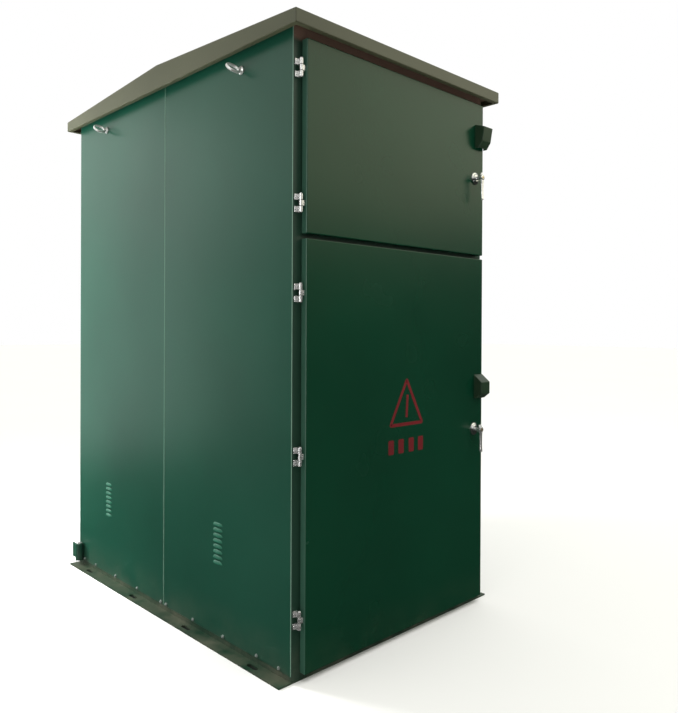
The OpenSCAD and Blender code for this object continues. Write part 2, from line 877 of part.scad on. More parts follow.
relief_x = tank_w / 2 - 120;

module tank_skids() {
  color(grey) mirrored_x() tube_y([skid_x - skid_w / 2, barrier_y + 10, base_h],
                                  [skid_x + skid_w / 2, tank_rear + 30, tank_z]);
}

// A wall plate with fins on it, of the given length, standing out along +X
module fin_bank(l) {
  z0 = tank_z + 90;
  z1 = tank_top - 60;
  n = floor((l - 70) / fin_pitch);
  box([0, -l / 2 + 20, z0], [2, l / 2 - 20, z1]);
  for (i = [0:n]) box([1, (i - n / 2) * fin_pitch - 4, z0], [fin_d, (i - n / 2) * fin_pitch + 4, z1]);
}

module cooling_fins() {
  color(grey) {
    mirrored_x() translate([tank_w / 2, tank_mid_y, 0]) fin_bank(tank_d);
    translate([0, tank_rear, 0]) rotate([0, 0, 90]) fin_bank(tank_w);
  }
}

limb_w = 90;
core_t = 100;
core_z = tank_z + 70;
core_h = 500;
coil_gap = 10;
coil_h = core_h - 2 * limb_w - 2 * coil_gap;

module core() {
  color("#5b5f63") {
    difference() {
      box([-limb_pitch - limb_w / 2, tank_mid_y - core_t / 2, core_z],
          [limb_pitch + limb_w / 2, tank_mid_y + core_t / 2, core_z + core_h]);
      mirrored_x() box([limb_w / 2, tank_mid_y - core_t, core_z + limb_w],
                       [limb_pitch - limb_w / 2, tank_mid_y + core_t, core_z + core_h - limb_w]);
    }
    mirrored_x() box([limb_pitch - 30, tank_mid_y - core_t / 2, tank_z + tank_t],
                     [limb_pitch + 30, tank_mid_y + core_t / 2, core_z]);
  }
}

module coil(x, r_in, r_out) {
  translate([x, tank_mid_y, core_z + limb_w + coil_gap]) difference() {
    cylinder(r = r_out, h = coil_h);
    translate([0, 0, -1]) cylinder(r = r_in, h = coil_h + 2);
  }
}

module coils() {
  color(copper) for (x = [-limb_pitch, 0, limb_pitch]) {
    coil(x, 70, 84);
    coil(x, 90, 112);
  }
}

module hv_bushing(x) {
  rod_along_y([x, tank_front - 12, hv_z], 45, 12);
  rod_along_y([x, tank_front - 1, hv_z], hv_neck_r, 40);
  rod_along_y([x, elbow_y, hv_z], 32, tank_front - 11 - elbow_y);
  rod_along_y([x, elbow_y - 55, hv_z], 22, 56);
}

elbow_y = tank_front - 100;

module lv_bushing(x) {
  translate([x, lv_y, tank_top - 50]) cylinder(r = lv_neck_r, h = lid_t + 51);
  translate([x, lv_y, lid_top]) cylinder(r = 32, h = 10);
  translate([x, lv_y, lid_top + 9]) cylinder(r = 24, h = 46);
  translate([x, lv_y, lid_top + 54]) cylinder(r = 10, h = lv_bushing_h - 54);
}

lv_bushing_h = 70;

module tank_bushings() {
  color("#8a4a3a") {
    for (x = hv_x) hv_bushing(x);
    for (x = lv_x) lv_bushing(x);
  }
}

// Plug-in elbow: socket on the bushing, cable leg pointing down
module hv_elbow(x) {
  difference() {
    union() {
      rod_along_y([x, elbow_y - 90, hv_z], 42, 90);
      rod_along_y([x, elbow_y - 112, hv_z], 26, 24);
      translate([x, elbow_y - 48, hv_z - 250]) cylinder(r = 30, h = 250);
      translate([x, elbow_y - 48, hv_z - 90]) cylinder(r = 36, h = 60);
    }
    rod_along_y([x, elbow_y - 57, hv_z], 22 + clear, 60);
    translate([x, elbow_y - 48, hv_z - 251]) cylinder(r = 17, h = 140);
  }
}

module hv_elbows() {
  color(rubber) for (x = hv_x) hv_elbow(x);
}

module fuse_holder(x) {
  rod_along_y([x, tank_front - 8, fuse_z], 34, 8);
  rod_along_y([x, tank_front - 9, fuse_z], fuse_r, 120);
  rod_along_y([x, barrier_y - 40, fuse_z], fuse_r, 120);
  rod_along_y([x, barrier_y - 62, fuse_z], 29, 30);
  difference() {
    box([x - 5, barrier_y - 96, fuse_z - 20], [x + 5, barrier_y - 61, fuse_z + 20]);
    rod_along_x([x - 6, barrier_y - 79, fuse_z], 9, 12);
  }
}

module fuse_holders() {
  color("#7c2f28") for (x = fuse_x) fuse_holder(x);
}

// A shaft that turns in the tank's boss, reaching out through the barrier wall
module control_shaft(z) {
  rod_along_y([switch_x, barrier_y - 40, z], switch_r, tank_front + 30 - barrier_y + 40);
}

module load_switch_handle() {
  color("#a32420") {
    control_shaft(fuse_z);
    difference() {
      union() {
        rod_along_y([switch_x, barrier_y - 54, fuse_z], 22, 16);
        box([switch_x - 9, barrier_y - 54, fuse_z - 85], [switch_x + 9, barrier_y - 44, fuse_z]);
        rod_along_y([switch_x, barrier_y - 54, fuse_z - 85], 18, 10);
      }
      rod_along_y([switch_x, barrier_y - 55, fuse_z - 85], 10, 12);
    }
  }
}

module tap_changer_knob() {
  color("#222428") {
    control_shaft(tap_z);
    rod_along_y([switch_x, barrier_y - 46, tap_z], 34, 8);
    box([switch_x - 6, barrier_y - 66, tap_z - 30], [switch_x + 6, barrier_y - 45, tap_z + 30]);
  }
}

// Relief valve on the lid, oil gauge, thermometer and drain valve at the rear
module tank_fittings() {
  color(steel) {
    translate([relief_x, tank_mid_y, tank_top - 20]) cylinder(r = 20, h = lid_t + 21);
    translate([relief_x, tank_mid_y, lid_top]) cylinder(r = 34, h = 22);
    translate([relief_x, tank_mid_y, lid_top + 21]) cylinder(r = 15, h = 20);
    for (x = [-tank_w / 4, tank_w / 4]) {
      rod_along_y([x, tank_rear + lid_rim + clear, tank_top - 30], 28, 20);
      rod_along_y([x, tank_rear, tank_top - 30], 12, lid_rim + 1);
    }
    rod_along_y([drain_x, tank_rear + 14, drain_z], 24, 12);
    rod_along_y([drain_x, tank_rear + 25, drain_z], 14, 30);
    translate([drain_x, tank_rear + 38, drain_z + 10]) cylinder(r = 6, h = 30);
    box([drain_x - 30, tank_rear + 32, drain_z + 38], [drain_x + 30, tank_rear + 44, drain_z + 44]);
  }
}

// ---- Low-voltage equipment ----

bar_back_y = barrier_y + barrier_t + 32;
bar_front_y = plate_y - breaker_d / 2;

module lv_bar(x) {
  x0 = x - bar_w / 2;
  x1 = x + bar_w / 2;
  foot_z = lid_top + lv_bushing_h;
  box([x0, bar_back_y, foot_z], [x1, lv_y + 14, foot_z + bar_t]);
  box([x0, bar_back_y, foot_z], [x1, bar_back_y + bar_t, bar_top_z]);
  box([x0, bar_front_y, bar_top_z - bar_t], [x1, bar_back_y + bar_t, bar_top_z]);
  box([x0, bar_front_y, breaker_z[1]], [x1, bar_front_y + bar_t, bar_top_z]);
}

module lv_bars() {
  color(copper) for (x = lv_x) lv_bar(x);
}

plate_x = 420;

module equipment_plate() {
  color("#d6d8d4") {
    box([-plate_x, plate_y, upper_mid_z - 200], [plate_x, plate_y + plate_t, upper_mid_z + 200]);
    for (x = [-plate_x + 30, plate_x - 30], dz = [-170, 170])
      rod_along_y([x, plate_y + 1, upper_mid_z + dz], 8, barrier_y - plate_y - 1);
  }
}

// A moulded breaker with a raised front and a slot for its toggle
module breaker(x, w, d, z, slot_w, slot_up, front_w) {
  mid = (z[0] + z[1]) / 2;
  difference() {
    union() {
      box([x - w / 2, plate_y - d, z[0]], [x + w / 2, plate_y, z[1]]);
      box([x - front_w / 2, plate_y - d - 10, mid - 1.6 * slot_up],
          [x + front_w / 2, plate_y - d + 1, mid + 1.6 * slot_up]);
    }
    box([x - slot_w / 2, plate_y - d - 11, mid - slot_up],
        [x + slot_w / 2, plate_y - d + 16, mid + slot_up]);
  }
}

module toggle(x, d, z, slot_w) {
  mid = (z[0] + z[1]) / 2;
  rod_along_x([x - slot_w / 2 + 1, plate_y - d + 6, mid], 8, slot_w - 2);
  box([x - slot_w / 2 + 2, plate_y - d - 38, mid - 5], [x + slot_w / 2 - 2, plate_y - d + 6, mid + 5]);
}

main_slot_w = 30;
feeder_slot_w = 22;

module main_breaker() {
  color("#2b2d30") breaker(breaker_x, breaker_w, breaker_d, breaker_z, main_slot_w, 32, 120);
}

module main_breaker_toggle() {
  color("#b8bab8") toggle(breaker_x, breaker_d, breaker_z, main_slot_w);
}

module feeder_breakers() {
  color("#2b2d30") for (x = feeder_x) breaker(x, feeder_w, feeder_d, feeder_z, feeder_slot_w, 28, 60);
}

module feeder_toggle_left() color("#b8bab8") toggle(feeder_x[0], feeder_d, feeder_z, feeder_slot_w);
module feeder_toggle_right() color("#b8bab8") toggle(feeder_x[1], feeder_d, feeder_z, feeder_slot_w);

meter_x = [275, 405];

module meter() {
  y = plate_y - 70;
  color("#c9ccc8") difference() {
    box([meter_x[0], y, upper_mid_z - 90], [meter_x[1], plate_y, upper_mid_z + 110]);
    box([meter_x[0] + 18, y - 1, upper_mid_z + 30], [meter_x[1] - 18, y + 4, upper_mid_z + 85]);
  }
}

base_frame();
corner_posts();
frame_rails();
side_panel_left_front();
side_panel_left_rear();
side_panel_right_front();
side_panel_right_rear();
panel_bolts();
roof_shell();
roof_soffit();
lifting_eyes();
rear_corner_socket();
hinge_frame_leaves();
hinge_pins();
upper_door_skin();
upper_door_stiffeners();
upper_door_seal();
upper_door_hinge_leaves();
upper_escutcheon();
upper_padlock_hood();
upper_handle();
lower_door_skin();
lower_door_stiffeners();
lower_door_seal();
lower_door_hinge_leaves();
lower_escutcheon();
lower_padlock_hood();
lower_handle();
lower_rod_up();
lower_rod_down();
rear_door_skin();
rear_door_stiffeners();
rear_door_seal();
rear_door_hinge_leaves();
rear_escutcheon();
rear_handle();
barrier_wall();
room_shelf();
floor_plate();
cable_grommets();
tank();
tank_lid();
tank_skids();
cooling_fins();
core();
coils();
tank_bushings();
hv_elbows();
fuse_holders();
load_switch_handle();
tap_changer_knob();
tank_fittings();
lv_bars();
equipment_plate();
main_breaker();
main_breaker_toggle();
feeder_breakers();
feeder_toggle_left();
feeder_toggle_right();
meter();
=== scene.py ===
import math

import bmesh
import bpy
from mathutils import Matrix, Vector


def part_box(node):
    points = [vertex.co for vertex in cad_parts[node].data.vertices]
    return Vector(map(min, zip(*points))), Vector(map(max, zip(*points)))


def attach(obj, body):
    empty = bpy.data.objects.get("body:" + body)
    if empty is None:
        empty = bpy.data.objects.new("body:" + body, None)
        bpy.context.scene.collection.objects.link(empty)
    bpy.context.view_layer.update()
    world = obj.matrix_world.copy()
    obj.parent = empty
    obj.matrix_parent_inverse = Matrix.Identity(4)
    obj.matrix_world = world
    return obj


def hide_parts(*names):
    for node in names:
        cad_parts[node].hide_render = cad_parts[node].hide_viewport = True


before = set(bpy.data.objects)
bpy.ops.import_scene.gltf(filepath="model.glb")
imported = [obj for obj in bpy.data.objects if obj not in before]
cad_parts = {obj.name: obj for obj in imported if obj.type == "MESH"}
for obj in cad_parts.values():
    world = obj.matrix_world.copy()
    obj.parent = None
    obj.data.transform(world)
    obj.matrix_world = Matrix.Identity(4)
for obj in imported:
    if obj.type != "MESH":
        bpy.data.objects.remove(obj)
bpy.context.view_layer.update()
upZ = Vector((0, 0, 1))
halfTurn = Matrix.Rotation(math.pi, 4, "Z")  # the rear door is the front one turned round


def say(text):
    print("stage:", text)


# mesh helpers

def addBox(bm, low, high, soft=0.0, steps=2):
    low, high = Vector(low), Vector(high)
    place = Matrix.Translation((low + high) / 2) @ Matrix.Diagonal((*(high - low), 1))
    verts = bmesh.ops.create_cube(bm, size=1, matrix=place)["verts"]
    if soft:
        edges = list({e for v in verts for e in v.link_edges})
        bevel(bm, edges, soft, steps)
    return verts


def bevel(bm, edges, width, steps=2):
    bmesh.ops.bevel(bm, geom=edges, offset=width, offset_type="OFFSET", affect="EDGES",
                    segments=steps, profile=0.5, material=-1, clamp_overlap=True)


def sharpEdges(bm, degrees=30):
    limit = math.radians(degrees)
    return [e for e in bm.edges if len(e.link_faces) == 2 and e.calc_face_angle(0) > limit]


def along(start, way):
    turn = upZ.rotation_difference(Vector(way)).to_matrix().to_4x4()
    return Matrix.Translation(start) @ turn


def addTurned(bm, start, way, outline, sides=40):
    # outline holds radius and height pairs
    place = along(start, way)
    verts = [bm.verts.new(place @ Vector((r, 0, h))) for r, h in outline]
    edges = [bm.edges.new(pair) for pair in zip(verts, verts[1:])]
    bmesh.ops.spin(bm, geom=verts + edges, cent=Vector(start), axis=Vector(way).normalized(),
                   angle=2 * math.pi, steps=sides, use_merge=True)


def addRod(bm, start, way, radius, length, soft=0.0, sides=32):
    soft = min(soft, radius * 0.6, length * 0.45)
    if soft:
        outline = [(0, 0), (radius - soft, 0), (radius - soft * 0.3, soft * 0.3), (radius, soft),
                   (radius, length - soft), (radius - soft * 0.3, length - soft * 0.3),
                   (radius - soft, length), (0, length)]
    else:
        outline = [(0, 0), (radius, 0), (radius, length), (0, length)]
    addTurned(bm, start, way, outline, sides)


def addTube(bm, start, way, inner, outer, length, soft=0.0004, sides=40):
    outline = [(inner, soft), (inner + soft, 0), (outer - soft, 0), (outer, soft),
               (outer, length - soft), (outer - soft, length), (inner + soft, length),
               (inner, length - soft), (inner, soft)]
    addTurned(bm, start, way, outline, sides)


def addRing(bm, centre, way, radius, band, deep, sides=48, steps=12):
    # a ring with an oval section, band wide and deep along its axis
    outline = [(radius + band / 2 * math.cos(a), deep / 2 * math.sin(a))
               for a in [2 * math.pi * i / steps for i in range(steps + 1)]]
    addTurned(bm, centre, way, outline, sides)


def addHexHead(bm, start, way, across, high):
    place = along(start, way) @ Matrix.Translation((0, 0, high / 2))
    made = bmesh.ops.create_cone(bm, cap_ends=True, segments=6, radius1=across * 0.577,
                                 radius2=across * 0.577, depth=high, matrix=place)["verts"]
    top = {v for v in made if ((v.co - Vector(start)).dot(Vector(way).normalized()) > high / 2)}
    rim = {e for v in top for e in v.link_edges if e.verts[0] in top and e.verts[1] in top}
    bevel(bm, list(rim), high * 0.16, 1)


def pushOut(bm, faces, push):
    made = bmesh.ops.extrude_face_region(bm, geom=faces)["geom"]
    tip = [g for g in made if isinstance(g, bmesh.types.BMVert)]
    bmesh.ops.translate(bm, verts=tip, vec=Vector(push))


def solidFrom(bm, outline, push):
    # a closed outline of points pushed along a vector
    pushOut(bm, [bm.faces.new([bm.verts.new(p) for p in outline])], push)


def everything(bm):
    return bm.verts[:] + bm.edges[:] + bm.faces[:]


def boltSpots(count, radius, start=45.0):
    # sideways and upward steps to places round a circle
    angles = [math.radians(start + 360.0 * i / count) for i in range(count)]
    return [(radius * math.cos(a), radius * math.sin(a)) for a in angles]


pieces = []


def makePiece(name, bm, looks, body, stands=(), smooth=38, turn=None):
    if turn is not None:
        bmesh.ops.transform(bm, matrix=turn, verts=bm.verts[:])
    bmesh.ops.remove_doubles(bm, verts=bm.verts[:], dist=2e-6)
    bmesh.ops.dissolve_degenerate(bm, edges=bm.edges[:], dist=1e-6)
    bmesh.ops.recalc_face_normals(bm, faces=bm.faces[:])
    mesh = bpy.data.meshes.new(name)
    bm.to_mesh(mesh)
    bm.free()
    for look in looks if isinstance(looks, (list, tuple)) else [looks]:
        mesh.materials.append(look)
    mesh.polygons.foreach_set("use_smooth", [True] * len(mesh.polygons))
    mesh.set_sharp_from_angle(angle=math.radians(smooth))
    piece = bpy.data.objects.new(name, mesh)
    bpy.context.scene.collection.objects.link(piece)
    if stands:
        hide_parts(*stands)
    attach(piece, body)
    pieces.append(piece)
    return piece


def evenNormals(piece):
    # flat faces stay flat beside their rounded edges
    even = piece.modifiers.new("even", "WEIGHTED_NORMAL")
    even.keep_sharp = True
    even.weight = 80


def wall(piece, thick):
    shell = piece.modifiers.new("sheet", "SOLIDIFY")
    shell.thickness = thick
    shell.offset = -1
    shell.use_even_offset = True


def soften(node, width, steps=2):
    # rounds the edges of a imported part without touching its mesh
    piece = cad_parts[node]
    weld = piece.modifiers.new("weld", "WELD")
    weld.merge_threshold = 0.00002
    edge = piece.modifiers.new("edge", "BEVEL")
    edge.width = width
    edge.segments = steps
    edge.limit_method = "ANGLE"
    edge.angle_limit = math.radians(40)
    edge.harden_normals = True


def dress(look, *nodes, edge=0.0):
    for node in nodes:
        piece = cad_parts[node]
        piece.data.materials.clear()
        piece.data.materials.append(look)
        if edge:
            soften(node, edge)


# material helpers

class Recipe:
    # a short way to wire a material's nodes

    def __init__(self, name, metallic=0.0, specular=0.5):
        self.look = bpy.data.materials.new(name)
        self.look.use_nodes = True
        self.tree = self.look.node_tree
        self.shader = self.tree.nodes["Principled BSDF"]
        self.shader.inputs["Metallic"].default_value = metallic
        self.shader.inputs["Specular IOR Level"].default_value = specular
        self.coords = self.add("ShaderNodeTexCoord").outputs["Object"]
        self.normal = None

    def add(self, kind, **values):
        made = self.tree.nodes.new(kind)
        for key, value in values.items():
            if hasattr(made, key):
                setattr(made, key, value)
            else:
                made.inputs[key.replace("_", " ")].default_value = value
        return made

    def link(self, a, b):
        self.tree.links.new(a, b)

    def stretched(self, scale):
        place = self.add("ShaderNodeMapping")
        place.inputs["Scale"].default_value = scale
        self.link(self.coords, place.inputs["Vector"])
        return place.outputs["Vector"]

    def noise(self, scale, detail=2.0, rough=0.5, stretch=None):
        made = self.add("ShaderNodeTexNoise", Scale=scale, Detail=detail, Roughness=rough)
        self.link(self.stretched(stretch) if stretch else self.coords, made.inputs["Vector"])
        return made.outputs["Fac"]

    def cells(self, scale, out="Distance"):
        made = self.add("ShaderNodeTexVoronoi", Scale=scale)
        self.link(self.coords, made.inputs["Vector"])
        return made.outputs[out]

    def height(self):
        apart = self.add("ShaderNodeSeparateXYZ")
        self.link(self.coords, apart.inputs["Vector"])
        return apart.outputs["Z"]

    def spread(self, source, low, high, newLow=0.0, newHigh=1.0):
        made = self.add("ShaderNodeMapRange", From_Min=low, From_Max=high, To_Min=newLow,
                        To_Max=newHigh)
        self.link(source, made.inputs["Value"])
        return made.outputs["Result"]

    def times(self, a, b):
        made = self.add("ShaderNodeMath", operation="MULTIPLY")
        self.link(a, made.inputs[0])
        self.link(b, made.inputs[1])
        return made.outputs["Value"]

    def ramp(self, source, stops):
        made = self.add("ShaderNodeValToRGB")
        ramp = made.color_ramp
        while len(ramp.elements) < len(stops):
            ramp.elements.new(0.5)
        for element, (place, colour) in zip(ramp.elements, stops):
            element.position = place
            element.color = (*colour, 1)
        self.link(source, made.inputs["Fac"])
        return made.outputs["Color"]

    def mix(self, factor, a, b):
        made = self.add("ShaderNodeMix", data_type="RGBA")
        self.link(factor, made.inputs["Factor"])
        for value, socket in ((a, made.inputs[6]), (b, made.inputs[7])):
            if isinstance(value, tuple):
                socket.default_value = (*value, 1)
            else:
                self.link(value, socket)
        return made.outputs[2]

    def bump(self, source, strength, distance):
        made = self.add("ShaderNodeBump", Strength=strength, Distance=distance)
        self.link(source, made.inputs["Height"])
        if self.normal is not None:
            self.link(self.normal, made.inputs["Normal"])
        self.normal = made.outputs["Normal"]

    def done(self, colour, rough=None):
        self.link(colour, self.shader.inputs["Base Color"])
        if rough is not None:
            self.link(rough, self.shader.inputs["Roughness"])
        if self.normal is not None:
            self.link(self.normal, self.shader.inputs["Normal"])
        return self.look


def shade(colour, factor):
    return tuple(min(1.0, c * factor) for c in colour)


def paint(name, colour, rough=0.3, specular=0.4, peel=0.2, peelSize=0.004, wave=0.25, paintedReflection=None,
          dust=0.0, vary=0.12, tint=(1, 1, 1)):
    # sprayed paint: broad shade changes, orange peel, slow waves in the sheet, dust low down
    r = Recipe(name, specular=specular)
    r.shader.inputs["Specular Tint"].default_value = (*tint, 1)
    tone = r.ramp(r.noise(1.6, 3.0), [(0.3, shade(colour, 1 - vary)), (0.7, shade(colour, 1 + vary))])
    # optional band by height in a second colour: a painted reflection, used for the brown band at the
    # frame's top
    if paintedReflection:
        up = r.spread(r.height(), paintedReflection["from"], paintedReflection["to"])
        tone = r.mix(up, tone, paintedReflection["colour"])
    speck = r.spread(r.cells(140.0), 0.06, 0.16, 0.10, 0.0)
    tone = r.mix(speck, tone, shade(colour, 1.3))
    if dust:
        low = r.spread(r.height(), 0.02, 0.16, dust, 0.0)
        patch = r.spread(r.noise(9.0, 5.0, 0.65), 0.35, 0.68)
        tone = r.mix(r.times(low, patch), tone, (0.20, 0.18, 0.13))
    cloudy = r.spread(r.noise(5.0, 2.0, 0.5), 0.25, 0.75, rough - 0.015, rough + 0.02)
    r.bump(r.noise(1.15, 1.0), wave, 0.02)
    r.bump(r.noise(1 / peelSize, 2.0, 0.55), peel, 0.0006)
    return r.done(tone, cloudy)


def metal(name, colour, rough=0.25, grain=(1, 1, 40), grainSize=90.0, blotch=0.08, scratch=0.12,
          metallic=1.0):
    r = Recipe(name, metallic=metallic)
    tone = r.ramp(r.noise(22.0, 4.0), [(0.3, shade(colour, 1 - blotch)), (0.7, shade(colour, 1 + blotch))])
    lines = r.noise(grainSize, 3.0, 0.6, stretch=grain)
    cloudy = r.spread(lines, 0.3, 0.7, rough - 0.06, rough + 0.1)
    r.bump(lines, scratch, 0.0003)
    r.bump(r.noise(60.0, 2.0), 0.08, 0.0008)
    return r.done(tone, cloudy)


def plastic(name, colour, rough=0.4, specular=0.5, grain=1500.0, depth=0.15, vary=0.08):
    r = Recipe(name, specular=specular)
    tone = r.ramp(r.noise(18.0, 3.0), [(0.3, shade(colour, 1 - vary)), (0.7, shade(colour, 1 + vary))])
    cloudy = r.spread(r.noise(70.0, 3.0), 0.3, 0.7, rough - 0.05, rough + 0.08)
    r.bump(r.noise(grain, 1.0), depth, 0.0002)
    return r.done(tone, cloudy)


def spangled(name, colour):
    # hot-dip zinc on sheet: flat crystals, each its own grey
    r = Recipe(name, metallic=0.85)
    crystal = r.cells(70.0, out="Color")
    grey = r.add("ShaderNodeRGBToBW")
    r.link(crystal, grey.inputs["Color"])
    tone = r.ramp(grey.outputs["Val"], [(0.1, shade(colour, 0.78)), (0.9, shade(colour, 1.12))])
    cloudy = r.spread(grey.outputs["Val"], 0.1, 0.9, 0.34, 0.52)
    r.bump(r.noise(30.0, 2.0), 0.08, 0.001)
    return r.done(tone, cloudy)


say("materials")
green = (0.0058, 0.050, 0.030)
sidePaint = paint("sidePaint", green, rough=0.30, specular=0.5, peel=0.24, peelSize=0.0065,
                  wave=0.35, dust=0.12)
# the brown band at the top of the frame rails is a painted reflection of the brown soffit above them
framePaint = paint("framePaint", (0.010, 0.034, 0.021), rough=0.36, peel=0.3, peelSize=0.006, dust=0.3,
                   paintedReflection={"from": 2.078, "to": 2.094, "colour": (0.115, 0.072, 0.054)})
# the louvres take the side green made lighter: a painted highlight on the pressed hoods
louvreHighlightPaint = paint("louvreHighlightPaint", shade(green, 1.9), rough=0.3, specular=0.5, peel=0.2, wave=0.1)
# pale green on the rounded front and rear edges of the side panels: a painted highlight on the folds
rimHighlightPaint = paint("rimHighlightPaint", (0.150, 0.260, 0.200), rough=0.3, specular=0.5, peel=0.1, wave=0.1)
# lighter green on the doors' side returns: painted light on the faces that turn to the sides
doorReturnLitPaint = paint("doorReturnLitPaint", (0.034, 0.100, 0.068), rough=0.3, specular=0.5, peel=0.15)
footPaint = paint("footPaint", (0.008, 0.034, 0.018), rough=0.5, peel=0.35, peelSize=0.006,
                  vary=0.25, dust=0.35)
# door green: the real paint, set darker than the side green as painted shade of the front faces
doorPaint = paint("doorPaint", (0.001, 0.031, 0.0145), rough=0.26, specular=0.38, peel=0.12,
                  peelSize=0.006, wave=0.3, dust=0.05, tint=(1.0, 1.0, 0.85))
# hood green: the real paint, made browner than the door green as a painted warm reflection
hoodPaint = paint("hoodPaint", (0.016, 0.036, 0.018), rough=0.3, peel=0.2, wave=0.1)
# roof olive: partly the roof's own colour, partly painted warm light from above
roofPaint = paint("roofPaint", (0.060, 0.064, 0.035), rough=0.42, specular=0.5, peel=0.35,
                  peelSize=0.006, wave=0.2)
soffitPaint = paint("soffitPaint", (0.170, 0.118, 0.088), rough=0.6, specular=0.25, peel=0.2)
tankPaint = paint("tankPaint", (0.23, 0.25, 0.26), rough=0.35, peel=0.35, peelSize=0.005)
signPaint = paint("signPaint", (0.12, 0.006, 0.009), rough=0.4, peel=0.15, vary=0.3)
stainless = metal("stainless", (0.82, 0.82, 0.82), rough=0.2, metallic=0.88)
eyeSteel = metal("eyeSteel", (0.78, 0.79, 0.77), rough=0.36, grain=(1, 1, 1), grainSize=60.0, scratch=0.03,
                 metallic=0.7)
chrome = metal("chrome", (0.72, 0.73, 0.72), rough=0.13, grain=(1, 1, 1), grainSize=40.0, scratch=0.02)
castSteel = metal("castSteel", (0.82, 0.82, 0.82), rough=0.22, grain=(1, 1, 1), grainSize=160.0,
                  metallic=0.85)
zincPlate = metal("zincPlate", (0.70, 0.71, 0.72), rough=0.34, grain=(1, 1, 1), grainSize=220.0,
                  metallic=0.6)
dullZinc = metal("dullZinc", (0.32, 0.36, 0.34), rough=0.4, grain=(1, 1, 1), grainSize=220.0,
                 metallic=0.6)
galvanised = spangled("galvanised", (0.56, 0.58, 0.58))
coreSteel = metal("coreSteel", (0.24, 0.25, 0.27), rough=0.4, grain=(1, 60, 1), grainSize=60.0)
copper = metal("copper", (0.80, 0.42, 0.26), rough=0.28, grain=(1, 1, 8), grainSize=60.0, blotch=0.16)
sealRubber = plastic("sealRubber", (0.016, 0.016, 0.016), rough=0.72, specular=0.3, grain=700.0,
                     depth=0.3)
glossRubber = plastic("glossRubber", (0.020, 0.020, 0.022), rough=0.42, grain=500.0)
epoxy = plastic("epoxy", (0.20, 0.055, 0.032), rough=0.22, grain=300.0, depth=0.08)
redPlastic = plastic("redPlastic", (0.42, 0.022, 0.016), rough=0.34)
blackPlastic = plastic("blackPlastic", (0.022, 0.022, 0.025), rough=0.46)
greyPlastic = plastic("greyPlastic", (0.075, 0.080, 0.088), rough=0.42)
palePlastic = plastic("palePlastic", (0.56, 0.56, 0.53), rough=0.4)
darkGlass = plastic("darkGlass", (0.012, 0.016, 0.018), rough=0.08, grain=40.0, depth=0.02)
brass = metal("brass", (0.78, 0.60, 0.30), rough=0.25, grain=(1, 1, 1), grainSize=150.0)
shadowGap = plastic("shadowGap", (0.006, 0.006, 0.006), rough=0.8, specular=0.2)

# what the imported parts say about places
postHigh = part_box("corner_posts")[1]
body = {"halfW": postHigh.x + 0.002, "halfD": postHigh.y, "sheet": 0.002}
upperLow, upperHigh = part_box("upper_door_skin")
lowerLow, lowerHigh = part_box("lower_door_skin")
rearLow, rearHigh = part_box("rear_door_skin")
faceY = upperLow.y
upperMid = (upperLow.z + upperHigh.z) / 2
lowerMid = (lowerLow.z + lowerHigh.z) / 2
rearMid = (rearLow.z + rearHigh.z) / 2


# roof: one folded sheet, a ridge across the middle, a lip turned in below
roof = {"rise": 0.049, "fold": 0.0035, "ridgeRound": 0.022, "sheet": 0.003, "lip": 0.018}


def makeRoof():
    low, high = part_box("roof_shell")
    eave = high.z - roof["rise"]
    bm = bmesh.new()
    addBox(bm, low, (high.x, high.y, eave))
    bmesh.ops.delete(bm, geom=[f for f in bm.faces if f.normal.z < -0.9], context="FACES")
    bmesh.ops.bisect_plane(bm, geom=everything(bm), plane_co=(0, 0, 0),
                           plane_no=(0, 1, 0))
    ridge = [v for v in bm.verts if abs(v.co.y) < 1e-5 and v.co.z > eave - 1e-5]
    bmesh.ops.translate(bm, verts=ridge, vec=(0, 0, roof["rise"]))
    bm.normal_update()
    rim = [e for e in bm.edges if e.is_boundary]
    made = bmesh.ops.extrude_edge_only(bm, edges=rim)["geom"]
    for v in [g for g in made if isinstance(g, bmesh.types.BMVert)]:
        if abs(v.co.x) > 0.1:
            v.co.x -= math.copysign(roof["lip"], v.co.x)
        if abs(v.co.y) > 0.1:
            v.co.y -= math.copysign(roof["lip"], v.co.y)
    bm.normal_update()
    bmesh.ops.recalc_face_normals(bm, faces=bm.faces[:])
    bevel(bm, sharpEdges(bm, 20), roof["fold"], 3)
    crown = [e for e in bm.edges if e.is_valid and all(abs(v.co.y) < 1e-4 and v.co.z > eave + 0.02
                                                       for v in e.verts) and e.calc_length() > 0.5]
    bevel(bm, crown, roof["ridgeRound"], 4)
    piece = makePiece("roofSheet", bm, roofPaint, "root", ["roof_shell"], smooth=50)
    wall(piece, roof["sheet"])


makeRoof()
dress(soffitPaint, "roof_soffit")
say("roof")


# side panels with pressed louvres
louvre = {"count": 8, "thick": 0.0011, "pitch": 0.020, "lowest": 0.295, "length": 0.062, "out": 0.005,
          "rise": 0.0125, "slot": (0.007, 0.003), "across": 12, "down": 6,
          "front": -0.385, "rear": 0.490}


def addLouvre(bm, sign, y, lip):
    # a pressed hood: flush at its top and ends, standing out at the lower lip
    place = Matrix.Translation((sign * body["halfW"], y, lip)) @ Matrix.Rotation(math.pi / 2, 4, "Y")
    verts = bmesh.ops.create_grid(bm, x_segments=louvre["down"], y_segments=louvre["across"],
                                  size=1, matrix=place)["verts"]
    for v in verts:
        down = (v.co.z - lip + 1) / 2
        side = v.co.y - y
        top = louvre["rise"] * (1 - 0.6 * abs(side) ** 4)
        bulge = math.sin(down * math.pi / 2) ** 0.8 if down > 0 else 0
        swell = (1 - abs(side) ** 3.5) * bulge
        v.co = Vector((sign * (body["halfW"] - 0.0004 + louvre["out"] * swell),
                       y + side * louvre["length"] / 2,
                       lip - 0.008 + top * (1 - down)))
    faces = list({f for v in verts for f in v.link_faces})
    # the louvre faces take the lighter louvre paint, a painted highlight
    for face in faces:
        face.material_index = 1
    pushOut(bm, faces, (-sign * louvre["thick"], 0, 0))


